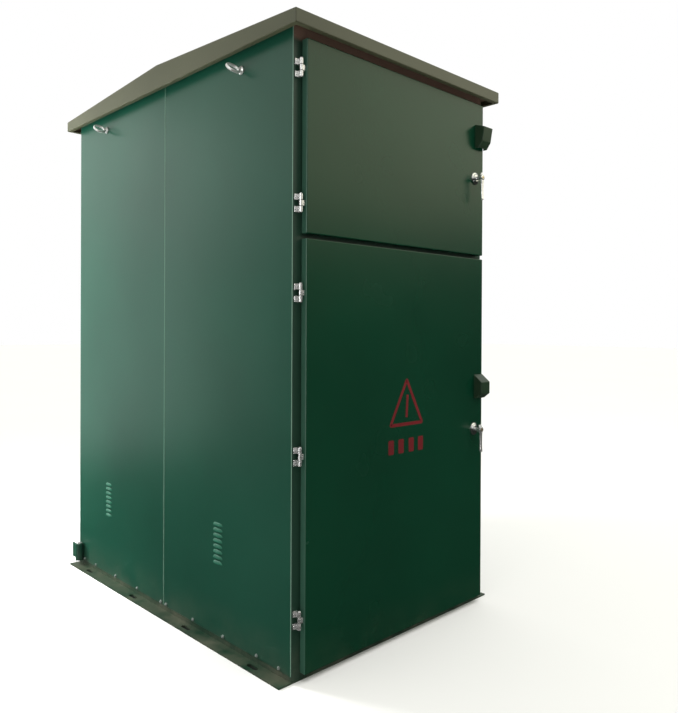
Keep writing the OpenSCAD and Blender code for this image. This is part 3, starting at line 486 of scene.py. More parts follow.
def makeSidePanel(side, part):
    node = f"side_panel_{side}_{part}"
    low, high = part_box(node)
    sign = -1 if side == "left" else 1
    x = sign * body["halfW"]
    bm = bmesh.new()
    bm.faces.new([bm.verts.new((x, y, z)) for y, z in ((low.y, low.z), (high.y, low.z),
                                                       (high.y, high.z), (low.y, high.z))])
    lips = [louvre["lowest"] + i * louvre["pitch"] for i in range(louvre["count"])]
    middle = louvre[part]
    half = louvre["length"] / 2 - 0.002
    for end in (-1, 1):
        bmesh.ops.bisect_plane(bm, geom=everything(bm),
                               plane_co=(0, middle + end * half, 0), plane_no=(0, 1, 0))
    for z in [z - drop for z in lips for drop in louvre["slot"]]:
        column = [f for f in bm.faces if abs(f.calc_center_median().y - middle) < half]
        edges = {e for f in column for e in f.edges}
        verts = {v for f in column for v in f.verts}
        bmesh.ops.bisect_plane(bm, geom=[*column, *edges, *verts], plane_co=(0, 0, z), plane_no=(0, 0, 1))
    holes = []
    for f in bm.faces:
        c = f.calc_center_median()
        inSlot = any(z - louvre["slot"][0] < c.z < z - louvre["slot"][1] for z in lips)
        if abs(c.y - middle) < half and inSlot:
            holes.append(f)
    bmesh.ops.delete(bm, geom=holes, context="FACES")
    pushOut(bm, bm.faces[:], (-sign * body["sheet"], 0, 0))
    bmesh.ops.recalc_face_normals(bm, faces=bm.faces[:])
    rim = [e for e in sharpEdges(bm, 60)
           if all(abs(v.co.x - x) < 1e-5 for v in e.verts)
           and (max(abs(v.co.y - low.y) for v in e.verts) < 1e-5
                or max(abs(v.co.y - high.y) for v in e.verts) < 1e-5
                or max(abs(v.co.z - low.z) for v in e.verts) < 1e-5)]
    bevel(bm, rim, 0.0018, 3)
    bm.normal_update()
    # rounded faces at the panel's front and rear edges take the pale rim paint, a painted highlight
    for f in bm.faces:
        middleOf = f.calc_center_median()
        rounded = 0.05 < abs(f.normal.x) < 0.98 and f.calc_area() < 0.02
        if rounded and min(abs(middleOf.y - low.y), abs(middleOf.y - high.y)) < 0.002:
            f.material_index = 2
    for z in lips:
        addLouvre(bm, sign, middle, z)
    name = "sidePanel" + side.capitalize() + part.capitalize()
    makePiece(name, bm, [sidePaint, louvreHighlightPaint, rimHighlightPaint], "root", [node], smooth=60)


for side in ("left", "right"):
    for part in ("front", "rear"):
        makeSidePanel(side, part)


# panel screws: washer and hexagon head
screws = {"y": (0.020, 0.220, 0.420, 0.620, 0.740), "z": 0.033, "washer": 0.0068, "head": 0.0085}


def makeScrews():
    bm = bmesh.new()
    for sign in (-1, 1):
        for y in screws["y"]:
            for end in (-1, 1):
                at = Vector((sign * body["halfW"], end * y, screws["z"]))
                way = Vector((sign, 0, 0))
                addRod(bm, at, way, screws["washer"], 0.0012, 0.0004, 24)
                addHexHead(bm, at + way * 0.0012, way, screws["head"], 0.0038)
    makePiece("panelScrews", bm, dullZinc, "root", ["panel_bolts"], smooth=30)


makeScrews()
say("side panels")


# lifting eyes
eyes = {"y": 0.520, "z": 2.052, "out": 0.036, "ring": 0.024, "band": 0.0078, "deep": 0.0105, "lean": 45}


def makeEyes():
    bm = bmesh.new()
    lean = math.radians(eyes["lean"])
    way = Vector((0, -math.sin(lean), math.cos(lean)))
    for sign in (-1, 1):
        for y in (-eyes["y"], eyes["y"]):
            base = Vector((sign * body["halfW"], y, eyes["z"]))
            out = Vector((sign, 0, 0))
            addRing(bm, base + out * eyes["out"], way, eyes["ring"], eyes["band"], eyes["deep"])
            addTurned(bm, base, out, [(0, 0), (0.0145, 0), (0.015, 0.0008), (0.015, 0.0035),
                                      (0.0135, 0.0055), (0.0095, 0.0065), (0.0075, 0.009),
                                      (0.0062, 0.0125), (0, 0.0145)], 32)
    makePiece("eyeBolts", bm, eyeSteel, "root", ["lifting_eyes"], smooth=50)


makeEyes()


# doors: folded pans with rounded edges
pan = {"fold": 0.0032, "sheet": 0.002, "return": 0.010}


def makeDoorSkin(name, node, rider, turned=False):
    low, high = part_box(node)
    if turned:
        low, high = Vector((-high.x, -high.y, low.z)), Vector((-low.x, -low.y, high.z))
    bm = bmesh.new()
    addBox(bm, low, high)
    bmesh.ops.delete(bm, geom=[f for f in bm.faces if f.normal.y > 0.9], context="FACES")
    bevel(bm, sharpEdges(bm, 60), pan["fold"], 4)
    rim = [e for e in bm.edges if e.is_boundary]
    made = bmesh.ops.extrude_edge_only(bm, edges=rim)["geom"]
    middle = (low + high) / 2
    for v in [g for g in made if isinstance(g, bmesh.types.BMVert)]:
        for axis in (0, 2):
            edge = (high - low)[axis] / 2
            if abs(abs(v.co[axis] - middle[axis]) - edge) < pan["fold"] + 1e-4:
                v.co[axis] -= math.copysign(pan["return"], v.co[axis] - middle[axis])
    bm.normal_update()
    # the side returns take the lighter door paint: painted light
    for face in bm.faces:
        face.material_index = 1 if abs(face.normal.x) > 0.75 else 0
    piece = makePiece(name, bm, [doorPaint, doorReturnLitPaint], rider, [node], smooth=50,
                      turn=halfTurn if turned else None)
    wall(piece, pan["sheet"])


makeDoorSkin("upperDoorPan", "upper_door_skin", "upper_door")
makeDoorSkin("lowerDoorPan", "lower_door_skin", "lower_door")
makeDoorSkin("rearDoorPan", "rear_door_skin", "rear_door", turned=True)
say("doors")


# a plain red triangle and four plain blocks stand where the real door has its sign
sign = {"x": 0.014, "base": 0.789, "top": 0.973, "half": 0.100, "stroke": 0.0125, "proud": 0.0003,
        "blocks": (-0.072, -0.017, 0.041, 0.095), "blockW": 0.030, "blockLow": 0.689, "blockHigh": 0.742}


def makeSign():
    bm = bmesh.new()
    y = faceY + 0.00005
    corners = [(-sign["half"], sign["base"]), (sign["half"], sign["base"]), (0, sign["top"])]
    face = bm.faces.new([bm.verts.new((sign["x"] + x, y, z)) for x, z in corners])
    bmesh.ops.bevel(bm, geom=face.verts[:], offset=0.016, offset_type="OFFSET", affect="VERTICES",
                    segments=4, profile=0.5, material=-1)
    bm.faces.ensure_lookup_table()
    bmesh.ops.inset_region(bm, faces=bm.faces[:], thickness=sign["stroke"], use_even_offset=True,
                           use_boundary=True)
    inner = max(bm.faces, key=lambda f: len(f.verts))
    bmesh.ops.delete(bm, geom=[inner], context="FACES")
    x0, z0 = sign["x"], (sign["base"] + sign["top"]) / 2 - 0.018
    bar = [(-0.007, -0.042), (0.005, -0.044), (0.011, 0.040), (-0.001, 0.042)]
    bm.faces.new([bm.verts.new((x0 + x, y, z0 + z)) for x, z in bar])
    for x in sign["blocks"]:
        w = sign["blockW"] / 2
        block = [(-w, sign["blockLow"]), (w, sign["blockLow"]), (w, sign["blockHigh"]),
                 (-w, sign["blockHigh"])]
        face = bm.faces.new([bm.verts.new((x + dx, y, z)) for dx, z in block])
        bmesh.ops.bevel(bm, geom=face.verts[:], offset=0.005, offset_type="OFFSET",
                        affect="VERTICES", segments=3, profile=0.5, material=-1)
    pushOut(bm, bm.faces[:], (0, -sign["proud"], 0))
    makePiece("plainRedMark", bm, signPaint, "lower_door", smooth=30)


makeSign()


# padlock hoods: a bent sheet with welded cheeks, and the lug inside
hood = {"wide": 0.060, "deep": 0.046, "high": 0.098, "past": 0.003, "sheet": 0.002, "above": 0.176,
        "upper": (0.015, 0.010, 0.018, 0.025, 0.0), "lower": (0.030, 0.0, 0.011, 0.020, 0.008)}


def makeHood(name, node, rider, mid, shape, right):
    drop, lean, foot, footHigh, less = hood[shape]
    deep = hood["deep"] - less
    x0 = right + hood["past"] - hood["wide"]
    z, h = mid + hood["above"], hood["high"] / 2
    outline = [(0, -h), (-foot, -h), (-deep + lean, -h + footHigh), (-deep, h - drop), (0, h)]
    bm = bmesh.new()
    solidFrom(bm, [(x0, faceY + y, z + dz) for y, dz in outline], (hood["wide"], 0, 0))
    bmesh.ops.recalc_face_normals(bm, faces=bm.faces[:])
    gone = [f for f in bm.faces if f.normal.y > 0.95 or f.normal.z < -0.95]
    bmesh.ops.delete(bm, geom=gone, context="FACES")
    bevel(bm, sharpEdges(bm, 12), 0.0022, 3)
    piece = makePiece(name, bm, hoodPaint, rider, [node], smooth=50)
    wall(piece, hood["sheet"])
    bm = bmesh.new()
    lug = x0 + hood["wide"] / 2
    addBox(bm, (lug - 0.0025, faceY - 0.010, z + h - 0.064), (lug + 0.0025, faceY, z + h - 0.034), 0.0006)
    addTube(bm, (lug - 0.0025, faceY - 0.012, z + h - 0.052), (1, 0, 0), 0.005, 0.0105, 0.005)
    makePiece(name + "Lug", bm, zincPlate, rider)


makeHood("upperHood", "upper_padlock_hood", "upper_door", upperMid, "upper", upperHigh.x)
makeHood("lowerHood", "lower_padlock_hood", "lower_door", lowerMid, "lower", lowerHigh.x)
say("hoods and sign")


# hinges
hinge = {"x": -0.500, "y": -0.816, "knuckle": 0.006, "height": 0.060, "tabOut": 0.015,
         "upper": (1.555, 1.991), "lower": (0.205, 0.735, 1.265),
         "rear": tuple(0.205 + i * 1.706 / 3 for i in range(4))}
frameFaceY = -body["halfD"]


def addFrameLeaf(bm, z):
    x, y, third = hinge["x"], hinge["y"], hinge["height"] / 3
    for low in (z - 1.5 * third, z + 0.5 * third):
        addBox(bm, (x - hinge["tabOut"], frameFaceY - 0.0032, low), (x + 0.004, frameFaceY, low + third),
               0.0012, 3)
        addBox(bm, (x - 0.0058, y + 0.001, low + 0.0004), (x - 0.0004, frameFaceY, low + third - 0.0004),
               0.0006)
        addTube(bm, (x, y, low + 0.0003), upZ, 0.0030, hinge["knuckle"], third - 0.0006, 0.0008)
        spot = Vector((x - 0.0103, frameFaceY - 0.0032, low + third / 2))
        addRod(bm, spot, (0, -1, 0), 0.0034, 0.0011, 0.0005, 20)


def addDoorLeaf(bm, z):
    x, y, third = hinge["x"], hinge["y"], hinge["height"] / 3
    low = z - third / 2
    addTube(bm, (x, y, low + 0.0007), upZ, 0.0030, hinge["knuckle"], third - 0.0014, 0.0008)
    addBox(bm, (x + 0.0036, y - 0.0034, low + 0.0009), (-0.485, y + 0.0034, low + third - 0.0009),
           0.0011, 3)
    addRod(bm, (x + 0.0108, y - 0.0034, z), (0, -1, 0), 0.0030, 0.0010, 0.0004, 20)


def addPin(bm, z):
    x, y, half = hinge["x"], hinge["y"], hinge["height"] / 2
    addRod(bm, (x, y, z - half - 0.001), upZ, 0.0029, 2 * half + 0.002, 0.0006, 24)
    addTurned(bm, (x, y, z + half), upZ, [(0, 0), (0.0048, 0), (0.0050, 0.0008), (0.0040, 0.0022),
                                          (0, 0.0026)], 24)


def makeHinges():
    front = hinge["upper"] + hinge["lower"]
    for add, name, node in ((addFrameLeaf, "frameLeaves", "hinge_frame_leaves"),
                            (addPin, "hingePins", "hinge_pins")):
        bm = bmesh.new()
        for z in hinge["rear"]:
            add(bm, z)
        bmesh.ops.transform(bm, matrix=halfTurn, verts=bm.verts[:])
        for z in front:
            add(bm, z)
        makePiece(name, bm, castSteel, "root", [node])
    for name, node, rider, places, turn in (
            ("upperDoorLeaves", "upper_door_hinge_leaves", "upper_door", hinge["upper"], None),
            ("lowerDoorLeaves", "lower_door_hinge_leaves", "lower_door", hinge["lower"], None),
            ("rearDoorLeaves", "rear_door_hinge_leaves", "rear_door", hinge["rear"], halfTurn)):
        bm = bmesh.new()
        for z in places:
            addDoorLeaf(bm, z)
        makePiece(name, bm, castSteel, rider, [node], turn=turn)


makeHinges()
say("hinges")


# handles: round escutcheon, neck, lever with a narrow tip above, tongue behind the door
handle = {"x": 0.440, "out": 0.036, "down": 0.092, "up": 0.022, "wide": 0.015, "thick": 0.0078,
          "spindle": 0.008, "proud": 0.0014, "disc": 0.018, "tongue": 0.036, "tongueY": -0.792}


def makeHandle(name, node, plateNode, rider, doorBody, mid, turn=None):
    x = handle["x"]
    out = Vector((0, -1, 0))
    bm = bmesh.new()
    addTurned(bm, (x, faceY, mid), out,
              [(0.0081, 0.0005), (0.0245, 0.0005), (0.025, 0.0012), (0.025, 0.0028), (0.0238, 0.0042),
               (0.0200, 0.0050), (0.0180, 0.0060), (0.0172, 0.0078), (0.0150, 0.0094),
               (0.0120, 0.0100), (0.0088, 0.0100), (0.0081, 0.0094), (0.0081, 0.0005)], 48)
    makePiece(name + "Escutcheon", bm, chrome, doorBody, [plateNode], turn=turn)

    bm = bmesh.new()
    leverY = faceY - handle["out"]
    front = leverY - handle["wide"] / 2 + handle["proud"]
    addRod(bm, (x, handle["tongueY"] - 0.001, mid), out, handle["spindle"] - 0.0002,
           handle["tongueY"] - 0.001 - leverY, 0.0006, 32)
    addTurned(bm, (x, leverY + 0.0060 + handle["proud"], mid), out,
              [(0, 0), (0.0096, 0), (0.0118, 0.0016), (0.0120, 0.0035), (0.0120, 0.0120),
               (0.0108, 0.0133), (0.0060, 0.0135), (0.0055, 0.0128), (0, 0.0128)], 40)
    # the lever is one bar, cut across and drawn to shape
    top, bottom = mid + handle["up"], mid - handle["down"]
    bar = addBox(bm, (x - handle["wide"] / 2, front, bottom),
                 (x + handle["wide"] / 2, front + handle["thick"], top))
    around = {f for v in bar for f in v.link_faces}
    for i in range(1, 12):
        z = bottom + (top - bottom) * i / 12
        edges = {e for f in around if f.is_valid for e in f.edges}
        verts = {v for f in around if f.is_valid for v in f.verts}
        cut = bmesh.ops.bisect_plane(bm, geom=list(around) + list(edges) + list(verts),
                                     plane_co=(0, 0, z), plane_no=(0, 0, 1))
        around = {g for g in cut["geom"] if isinstance(g, bmesh.types.BMFace)}
        around |= {f for g in cut["geom_cut"] if isinstance(g, bmesh.types.BMVert)
                   for f in g.link_faces}
    barVerts = {v for f in around for v in f.verts}
    for v in barVerts:
        share = (v.co.z - mid) / (handle["up"] if v.co.z > mid else handle["down"])
        thin = 1 - 0.62 * max(0, share) ** 1.4 if share > 0 else 1 - 0.20 * math.sin(-share * 2.4)
        v.co.x = x + (v.co.x - x) * thin
        v.co.y += 0.0050 * max(0, share) ** 2 + 0.0016 * math.sin(max(0, -share) * math.pi)
    edges = [e for e in {e for v in barVerts for e in v.link_edges}
             if len(e.link_faces) == 2 and e.calc_face_angle(0) > math.radians(50)]
    bevel(bm, edges, 0.0026, 3)
    addBox(bm, (x - 0.008, handle["tongueY"], mid - handle["tongue"]),
           (x + 0.008, handle["tongueY"] + 0.004, mid + 0.010), 0.0007)
    addRod(bm, (x, handle["tongueY"] + 0.004, mid), (0, 1, 0), handle["disc"], 0.0017, 0.0004, 40)
    makePiece(name + "Lever", bm, stainless, rider, [node], turn=turn, smooth=45)

    bm = bmesh.new()
    addTurned(bm, (x, front - 0.0001, mid), out, [(0, 0), (0.0048, 0), (0.0048, 0.0006), (0.0042, 0.0009),
                                                  (0, 0.0009)], 28)
    makePiece(name + "Lock", bm, brass, rider, turn=turn)
    bm = bmesh.new()
    addBox(bm, (x - 0.0006, front - 0.0013, mid - 0.003), (x + 0.0006, front - 0.0009, mid + 0.003))
    makePiece(name + "KeySlot", bm, shadowGap, rider, turn=turn)


makeHandle("upperHandle", "upper_handle", "upper_escutcheon", "upper_handle", "upper_door", upperMid)
makeHandle("lowerHandle", "lower_handle", "lower_escutcheon", "lower_handle", "lower_door", lowerMid)
makeHandle("rearHandle", "rear_handle", "rear_escutcheon", "rear_handle", "rear_door", rearMid, halfTurn)
say("handles")


# tube and plate low at the rear left corner
socket = {"x": -0.541, "y": 0.762, "bottom": 0.025, "high": 0.080, "outer": 0.017, "inner": 0.011}


def makeSocket():
    x, y, z, h = socket["x"], socket["y"], socket["bottom"], socket["high"]
    bm = bmesh.new()
    addTube(bm, (x, y, z), upZ, socket["inner"], socket["outer"], h, 0.0010)
    addBox(bm, (x - 0.0025, y + 0.0155, z + 0.004), (x + 0.0025, 0.832, z + h - 0.008), 0.0011, 3)
    addBox(bm, (x + 0.0125, y - 0.008, z + 0.020), (-body["halfW"], y + 0.008, z + h - 0.010), 0.001)
    makePiece("cornerSocket", bm, sidePaint, "root", ["rear_corner_socket"])
    bm = bmesh.new()
    addTube(bm, (x, y, z + h - 0.012), upZ, 0.0098, 0.0128, 0.0145, 0.0005)
    makePiece("socketLiner", bm, castSteel, "root")


makeSocket()
dress(framePaint, "corner_posts", "frame_rails", edge=0.0012)
dress(footPaint, "base_frame", edge=0.0010)
dress(framePaint, "upper_door_stiffeners", "lower_door_stiffeners", "rear_door_stiffeners", edge=0.0008)
dress(sealRubber, "upper_door_seal", "lower_door_seal", "rear_door_seal", edge=0.002)
dress(zincPlate, "lower_rod_up", "lower_rod_down")
say("frame")

# inside: sheets, tank and its fittings
tank = {"front": -0.230, "rear": 0.390, "lid": 0.960, "lvY": -0.170, "hvZ": 0.820,
        "fuseZ": 0.640, "tapZ": 0.440, "controlX": 0.300}
phases = (-0.200, 0.0, 0.200)
barPlaces = (-0.315, -0.225, -0.135, -0.045)
fusePlaces = (-0.300, -0.100, 0.100)
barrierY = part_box("barrier_wall")[0].y
elbowY = tank["front"] - 0.100
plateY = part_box("equipment_plate")[0].y
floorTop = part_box("floor_plate")[1].z
outward = Vector((0, -1, 0))

dress(galvanised, "barrier_wall", "room_shelf", "floor_plate")
dress(galvanised, "equipment_plate", edge=0.0008)
dress(tankPaint, "tank", "tank_skids", edge=0.003)
dress(tankPaint, "tank_lid", edge=0.0012)
dress(tankPaint, "cooling_fins", edge=0.0025)
dress(coreSteel, "core", edge=0.001)
dress(copper, "coils", edge=0.001)
dress(copper, "lv_bars", edge=0.0008)

grommet = {"hvHole": 0.050, "hvBore": 0.035, "lvHole": 0.030, "lvBore": 0.020, "up": 0.006,
           "under": 0.060, "hvY": -0.550, "lvY": -0.410, "lvX": (-0.3, -0.1, 0.1, 0.3)}


def makeGrommets():
    bm = bmesh.new()
    wanted = [(x, grommet["hvY"], grommet["hvHole"], grommet["hvBore"]) for x in phases]
    wanted += [(x, grommet["lvY"], grommet["lvHole"], grommet["lvBore"]) for x in grommet["lvX"]]
    for x, y, hole, bore in wanted:
        z0, z1, rim = grommet["under"], floorTop, floorTop + grommet["up"]
        step = (hole - bore) / 3
        addTurned(bm, (x, y, 0), upZ,
                  [(bore, z0 + 0.001), (bore + 0.001, z0), (hole - 0.0015, z0), (hole - 0.0003, z0 + 0.0012),
                   (hole - 0.0003, z1), (hole + 0.0075, z1), (hole + 0.008, z1 + 0.001),
                   (hole + 0.0065, z1 + 0.0035), (hole, z1 + 0.0040), (hole - 0.001, rim - 0.0008),
                   (hole - 0.002, rim), (hole - step, rim), (hole - step - 0.0012, rim - 0.0024),
                   (hole - 2 * step, rim - 0.0024), (hole - 2 * step - 0.0012, rim - 0.0046),
                   (bore + 0.0008, rim - 0.0046), (bore, rim - 0.0056), (bore, z0 + 0.001)], 48)
    makePiece("cableGrommets", bm, glossRubber, "root", ["cable_grommets"])


makeGrommets()


def makeBushings():
    bm = bmesh.new()
    steel = bmesh.new()
    for x in phases:
        front = tank["front"]
        addTurned(bm, (x, 0, tank["hvZ"]), outward,
                  [(0, -front - 0.039), (0.028, -front - 0.039), (0.028, -front + 0.0002),
                   (0.044, -front + 0.0002), (0.045, -front + 0.002), (0.045, -front + 0.010),
                   (0.043, -front + 0.012), (0.036, -front + 0.014), (0.0335, -front + 0.020),
                   (0.032, -front + 0.040), (0.032, -elbowY - 0.004), (0.030, -elbowY),
                   (0.022, -elbowY), (0.0205, -elbowY + 0.050), (0.018, -elbowY + 0.055),
                   (0, -elbowY + 0.055)], 48)
        for dx, dz in boltSpots(4, 0.0385):
            addHexHead(steel, (x + dx, front - 0.0115, tank["hvZ"] + dz), outward, 0.0085, 0.004)
    for x in barPlaces:
        z = tank["lid"]
        shape = [(0, -0.058), (0.020, -0.058), (0.020, 0.0), (0.031, 0.0), (0.032, 0.0015),
                 (0.032, 0.008), (0.0305, 0.010), (0.022, 0.0105)]
        for i in range(3):
            base = 0.012 + i * 0.014
            shape += [(0.0185, base), (0.0185, base + 0.003), (0.0285, base + 0.0055),
                      (0.0295, base + 0.0070), (0.0285, base + 0.0082), (0.0195, base + 0.0115)]
        shape += [(0.0185, 0.0535), (0.0165, 0.0555), (0.0100, 0.0560), (0.0100, 0.0695), (0, 0.0698)]
        addTurned(bm, (x, tank["lvY"], z), upZ, shape, 40)
        addHexHead(steel, (x, tank["lvY"], z + 0.0562), upZ, 0.024, 0.0065)
        for dx, dy in boltSpots(4, 0.0262):
            addRod(steel, (x + dx, tank["lvY"] + dy, z + 0.0098), upZ, 0.0028, 0.003, 0.0006, 16)
    makePiece("tankBushings", bm, epoxy, "root", ["tank_bushings"])
    makePiece("bushingBolts", steel, zincPlate, "root", smooth=30)


def makeElbows():
    bm = bmesh.new()
    steel = bmesh.new()
    for x in phases:
        z = tank["hvZ"]
        addTurned(bm, (x, elbowY, z), outward,
                  [(0.0225, 0.055), (0.0225, 0.001), (0.0235, 0), (0.0390, 0), (0.0415, 0.002),
                   (0.042, 0.006), (0.0420, 0.020), (0.0402, 0.026), (0.0385, 0.034), (0.0390, 0.050),
                   (0.0400, 0.070), (0.0380, 0.084), (0.0320, 0.0895), (0.0270, 0.0905),
                   (0.0258, 0.0925), (0.0260, 0.106), (0.0235, 0.1105), (0.0160, 0.1120),
                   (0, 0.1120), (0, 0.055), (0.0225, 0.055)], 48)
        addTurned(bm, (x, elbowY - 0.048, z - 0.250), upZ,
                  [(0.017, 0.140), (0.017, 0.0010), (0.0180, 0), (0.0235, 0), (0.0250, 0.0015),
                   (0.0262, 0.020), (0.0275, 0.060), (0.0285, 0.120), (0.0300, 0.152), (0.0340, 0.160),
                   (0.0358, 0.164), (0.0360, 0.215), (0.0345, 0.220), (0.0310, 0.225),
                   (0.0300, 0.236), (0.0270, 0.250), (0, 0.250), (0, 0.140), (0.017, 0.140)], 44)
        # pulling eye on the nose, test point on the leg
        eye = Vector((x, elbowY - 0.1095, z))
        addRod(steel, eye + Vector((0, 0.003, 0)), outward, 0.0090, 0.0052, 0.001, 6)
        addTurned(bm, (x, elbowY - 0.048 - 0.0345, z - 0.062), outward,
                  [(0, 0), (0.0105, 0), (0.0100, 0.0055), (0.0085, 0.0075), (0, 0.0080)], 24)
    makePiece("plugElbows", bm, glossRubber, "root", ["hv_elbows"])
    makePiece("elbowStuds", steel, zincPlate, "root", smooth=30)


makeBushings()
makeElbows()


def makeFuses():
    bm = bmesh.new()
    steel = bmesh.new()
    z, front = tank["fuseZ"], -tank["front"]
    for x in fusePlaces:
        wall0 = -barrierY
        addTurned(bm, (x, 0, z), outward,
                  [(0, front - 0.111), (0.024, front - 0.111), (0.024, front - 0.0002),
                   (0.0335, front - 0.0002), (0.034, front + 0.001), (0.034, front + 0.0068),
                   (0.0325, front + 0.008), (0.0245, front + 0.0085), (0.024, front + 0.010),
                   (0.024, wall0 + 0.030), (0.0275, wall0 + 0.032), (0.029, wall0 + 0.034),
                   (0.029, wall0 + 0.057), (0.0272, wall0 + 0.0605), (0.0200, wall0 + 0.0620),
                   (0, wall0 + 0.0620)], 44)
        for dx, dz in boltSpots(14, 0.0272, 0.0):
            addRod(bm, (x + dx, barrierY - 0.036, z + dz), outward, 0.0018, 0.019, 0.0006, 8)
        addRing(bm, (x, barrierY - 0.0790, z), (1, 0, 0), 0.0130, 0.0080, 0.0096, 36, 10)
        addBox(bm, (x - 0.0048, barrierY - 0.0680, z - 0.012), (x + 0.0048, barrierY - 0.0605, z + 0.012),
               0.0014)
        for dx, dz in boltSpots(4, 0.0290):
            addHexHead(steel, (x + dx, -front - 0.0078, z + dz), outward, 0.006, 0.003)
    makePiece("fuseHolders", bm, epoxy, "root", ["fuse_holders"])
    makePiece("fuseScrews", steel, zincPlate, "root", smooth=30)


makeFuses()


def addShaft(bm, z):
    start = (tank["controlX"], tank["front"] + 0.030, z)
    addRod(bm, start, outward, 0.0099, tank["front"] + 0.030 - barrierY + 0.040, 0.0008, 36)


def makeSwitchHandle():
    x, z, y = tank["controlX"], tank["fuseZ"], barrierY
    bm = bmesh.new()
    addShaft(bm, z)
    addTurned(bm, (x, y - 0.038, z), outward,
              [(0, 0), (0.0205, 0), (0.022, 0.0015), (0.022, 0.013), (0.0200, 0.0155),
               (0.0120, 0.0160), (0.0100, 0.0145), (0, 0.0145)], 40)
    arm = [(-0.0070, -0.068), (0.0070, -0.068), (0.0095, -0.015), (-0.0095, -0.015)]
    solidFrom(bm, [(x + dx, y - 0.0445, z + dz) for dx, dz in arm], (0, -0.009, 0))
    bmesh.ops.recalc_face_normals(bm, faces=bm.faces[:])
    edges = [e for e in sharpEdges(bm, 60) if all(abs(v.co.x - x) < 0.0097 and v.co.z < z - 0.014
                                                  for v in e.verts)]
    bevel(bm, edges, 0.0022, 3)
    grip = (x, y - 0.044, z - 0.085)
    addTube(bm, grip, outward, 0.010, 0.018, 0.010, 0.0022, 40)
    makePiece("switchHandle", bm, redPlastic, "load_switch_handle", ["load_switch_handle"])


def makeTapKnob():
    x, z, y = tank["controlX"], tank["tapZ"], barrierY
    bm = bmesh.new()
    addShaft(bm, z)
    addTurned(bm, (x, y - 0.038, z), outward,
              [(0, 0), (0.0325, 0), (0.034, 0.0012), (0.034, 0.0062), (0.0325, 0.008), (0, 0.008)], 48)
    for dx, dz in boltSpots(24, 0.0330, 0.0):
        addRod(bm, (x + dx, y - 0.0385, z + dz), outward, 0.0010, 0.007, 0.0003, 8)
    addBox(bm, (x - 0.006, y - 0.066, z - 0.029), (x + 0.006, y - 0.045, z + 0.029), 0.0028, 3)
    makePiece("tapKnob", bm, blackPlastic, "tap_changer_knob", ["tap_changer_knob"])
    bm = bmesh.new()
    addBox(bm, (x - 0.0008, y - 0.0664, z + 0.010), (x + 0.0008, y - 0.0655, z + 0.026))
    makePiece("tapPointer", bm, palePlastic, "tap_changer_knob")
    bm = bmesh.new()
    for i in range(5):
        a = math.radians(30 + 30 * i)
        for r in (0.041, 0.043, 0.045):
            addRod(bm, (x + r * math.cos(a), y, z + r * math.sin(a)), outward, 0.0013, 0.0006, 0.0002, 12)
    makePiece("tapMarks", bm, palePlastic, "root")


makeSwitchHandle()
makeTapKnob()

fitting = {"reliefX": 0.260, "middleY": 0.080, "gaugeX": 0.190, "gaugeZ": 0.920, "gaugeY": 0.4203,
           "drainX": -0.2533, "drainZ": 0.170}


def makeTankFittings():
    bm = bmesh.new()
    glass = bmesh.new()
    face = bmesh.new()
    rearward = Vector((0, 1, 0))
    addTurned(bm, (fitting["reliefX"], fitting["middleY"], tank["lid"]), upZ,
              [(0, -0.0295), (0.0199, -0.0295), (0.0199, 0.0), (0.0335, 0.0), (0.034, 0.001),
               (0.034, 0.0195), (0.032, 0.022), (0.0200, 0.0235), (0.0160, 0.0250), (0.015, 0.028),
               (0.015, 0.038), (0.0130, 0.0405), (0, 0.041)], 44)
    for sign in (-1, 1):
        at = Vector((sign * fitting["gaugeX"], tank["rear"], fitting["gaugeZ"]))
        seat = fitting["gaugeY"] - tank["rear"]
        addTurned(bm, at, rearward,
                  [(0, 0), (0.012, 0), (0.012, seat), (0.0265, seat), (0.028, seat + 0.0015),
                   (0.028, seat + 0.018), (0.0270, seat + 0.0198), (0.0250, seat + 0.0198),
                   (0.0245, seat + 0.0180), (0.0245, seat + 0.0150), (0, seat + 0.0150)], 48)
        addRod(face, at + rearward * (seat + 0.0151), rearward, 0.0240, 0.0004, 0.0001, 40)
        turn = math.radians(35 + 60 * sign)
        for i in range(9):
            a = math.radians(-30 + 30 * i)
            spot = at + rearward * (seat + 0.0154) + Vector((0.0200 * math.cos(a), 0, 0.0200 * math.sin(a)))
            addRod(glass, spot, rearward, 0.0011, 0.0004, 0.0001, 10)
        pointer = [(-0.0008, -0.006), (0.0008, -0.006), (0.0003, 0.017), (-0.0003, 0.017)]
        place = at + rearward * (seat + 0.0158)
        solidFrom(glass, [(place.x + px * math.cos(turn) + pz * math.sin(turn), place.y,
                           place.z - px * math.sin(turn) + pz * math.cos(turn)) for px, pz in pointer],
                  (0, 0.0006, 0))
        addRod(glass, place - rearward * 0.0003, rearward, 0.0026, 0.0016, 0.0004, 20)
    x, z, y = fitting["drainX"], fitting["drainZ"], tank["rear"]
    addTurned(bm, (x, y, z), rearward,
              [(0, 0.0142), (0.0225, 0.0142), (0.024, 0.0155), (0.024, 0.0245), (0.0225, 0.026),
               (0.0145, 0.0265), (0.0135, 0.030), (0.0140, 0.052), (0.0128, 0.0548), (0.0090, 0.055),
               (0.0085, 0.050), (0, 0.050)], 40)
    addTurned(bm, (x, y + 0.038, z + 0.010), upZ,
              [(0, 0), (0.0075, 0), (0.0075, 0.008), (0.0060, 0.0095), (0.0060, 0.0290), (0, 0.0295)], 28)
    addBox(bm, (x - 0.030, y + 0.032, z + 0.0385), (x + 0.030, y + 0.044, z + 0.0435), 0.0018, 3)
    makePiece("tankFittings", bm, castSteel, "root", ["tank_fittings"])
    makePiece("gaugeFaces", face, palePlastic, "root")
    makePiece("gaugeMarks", glass, blackPlastic, "root")


makeTankFittings()


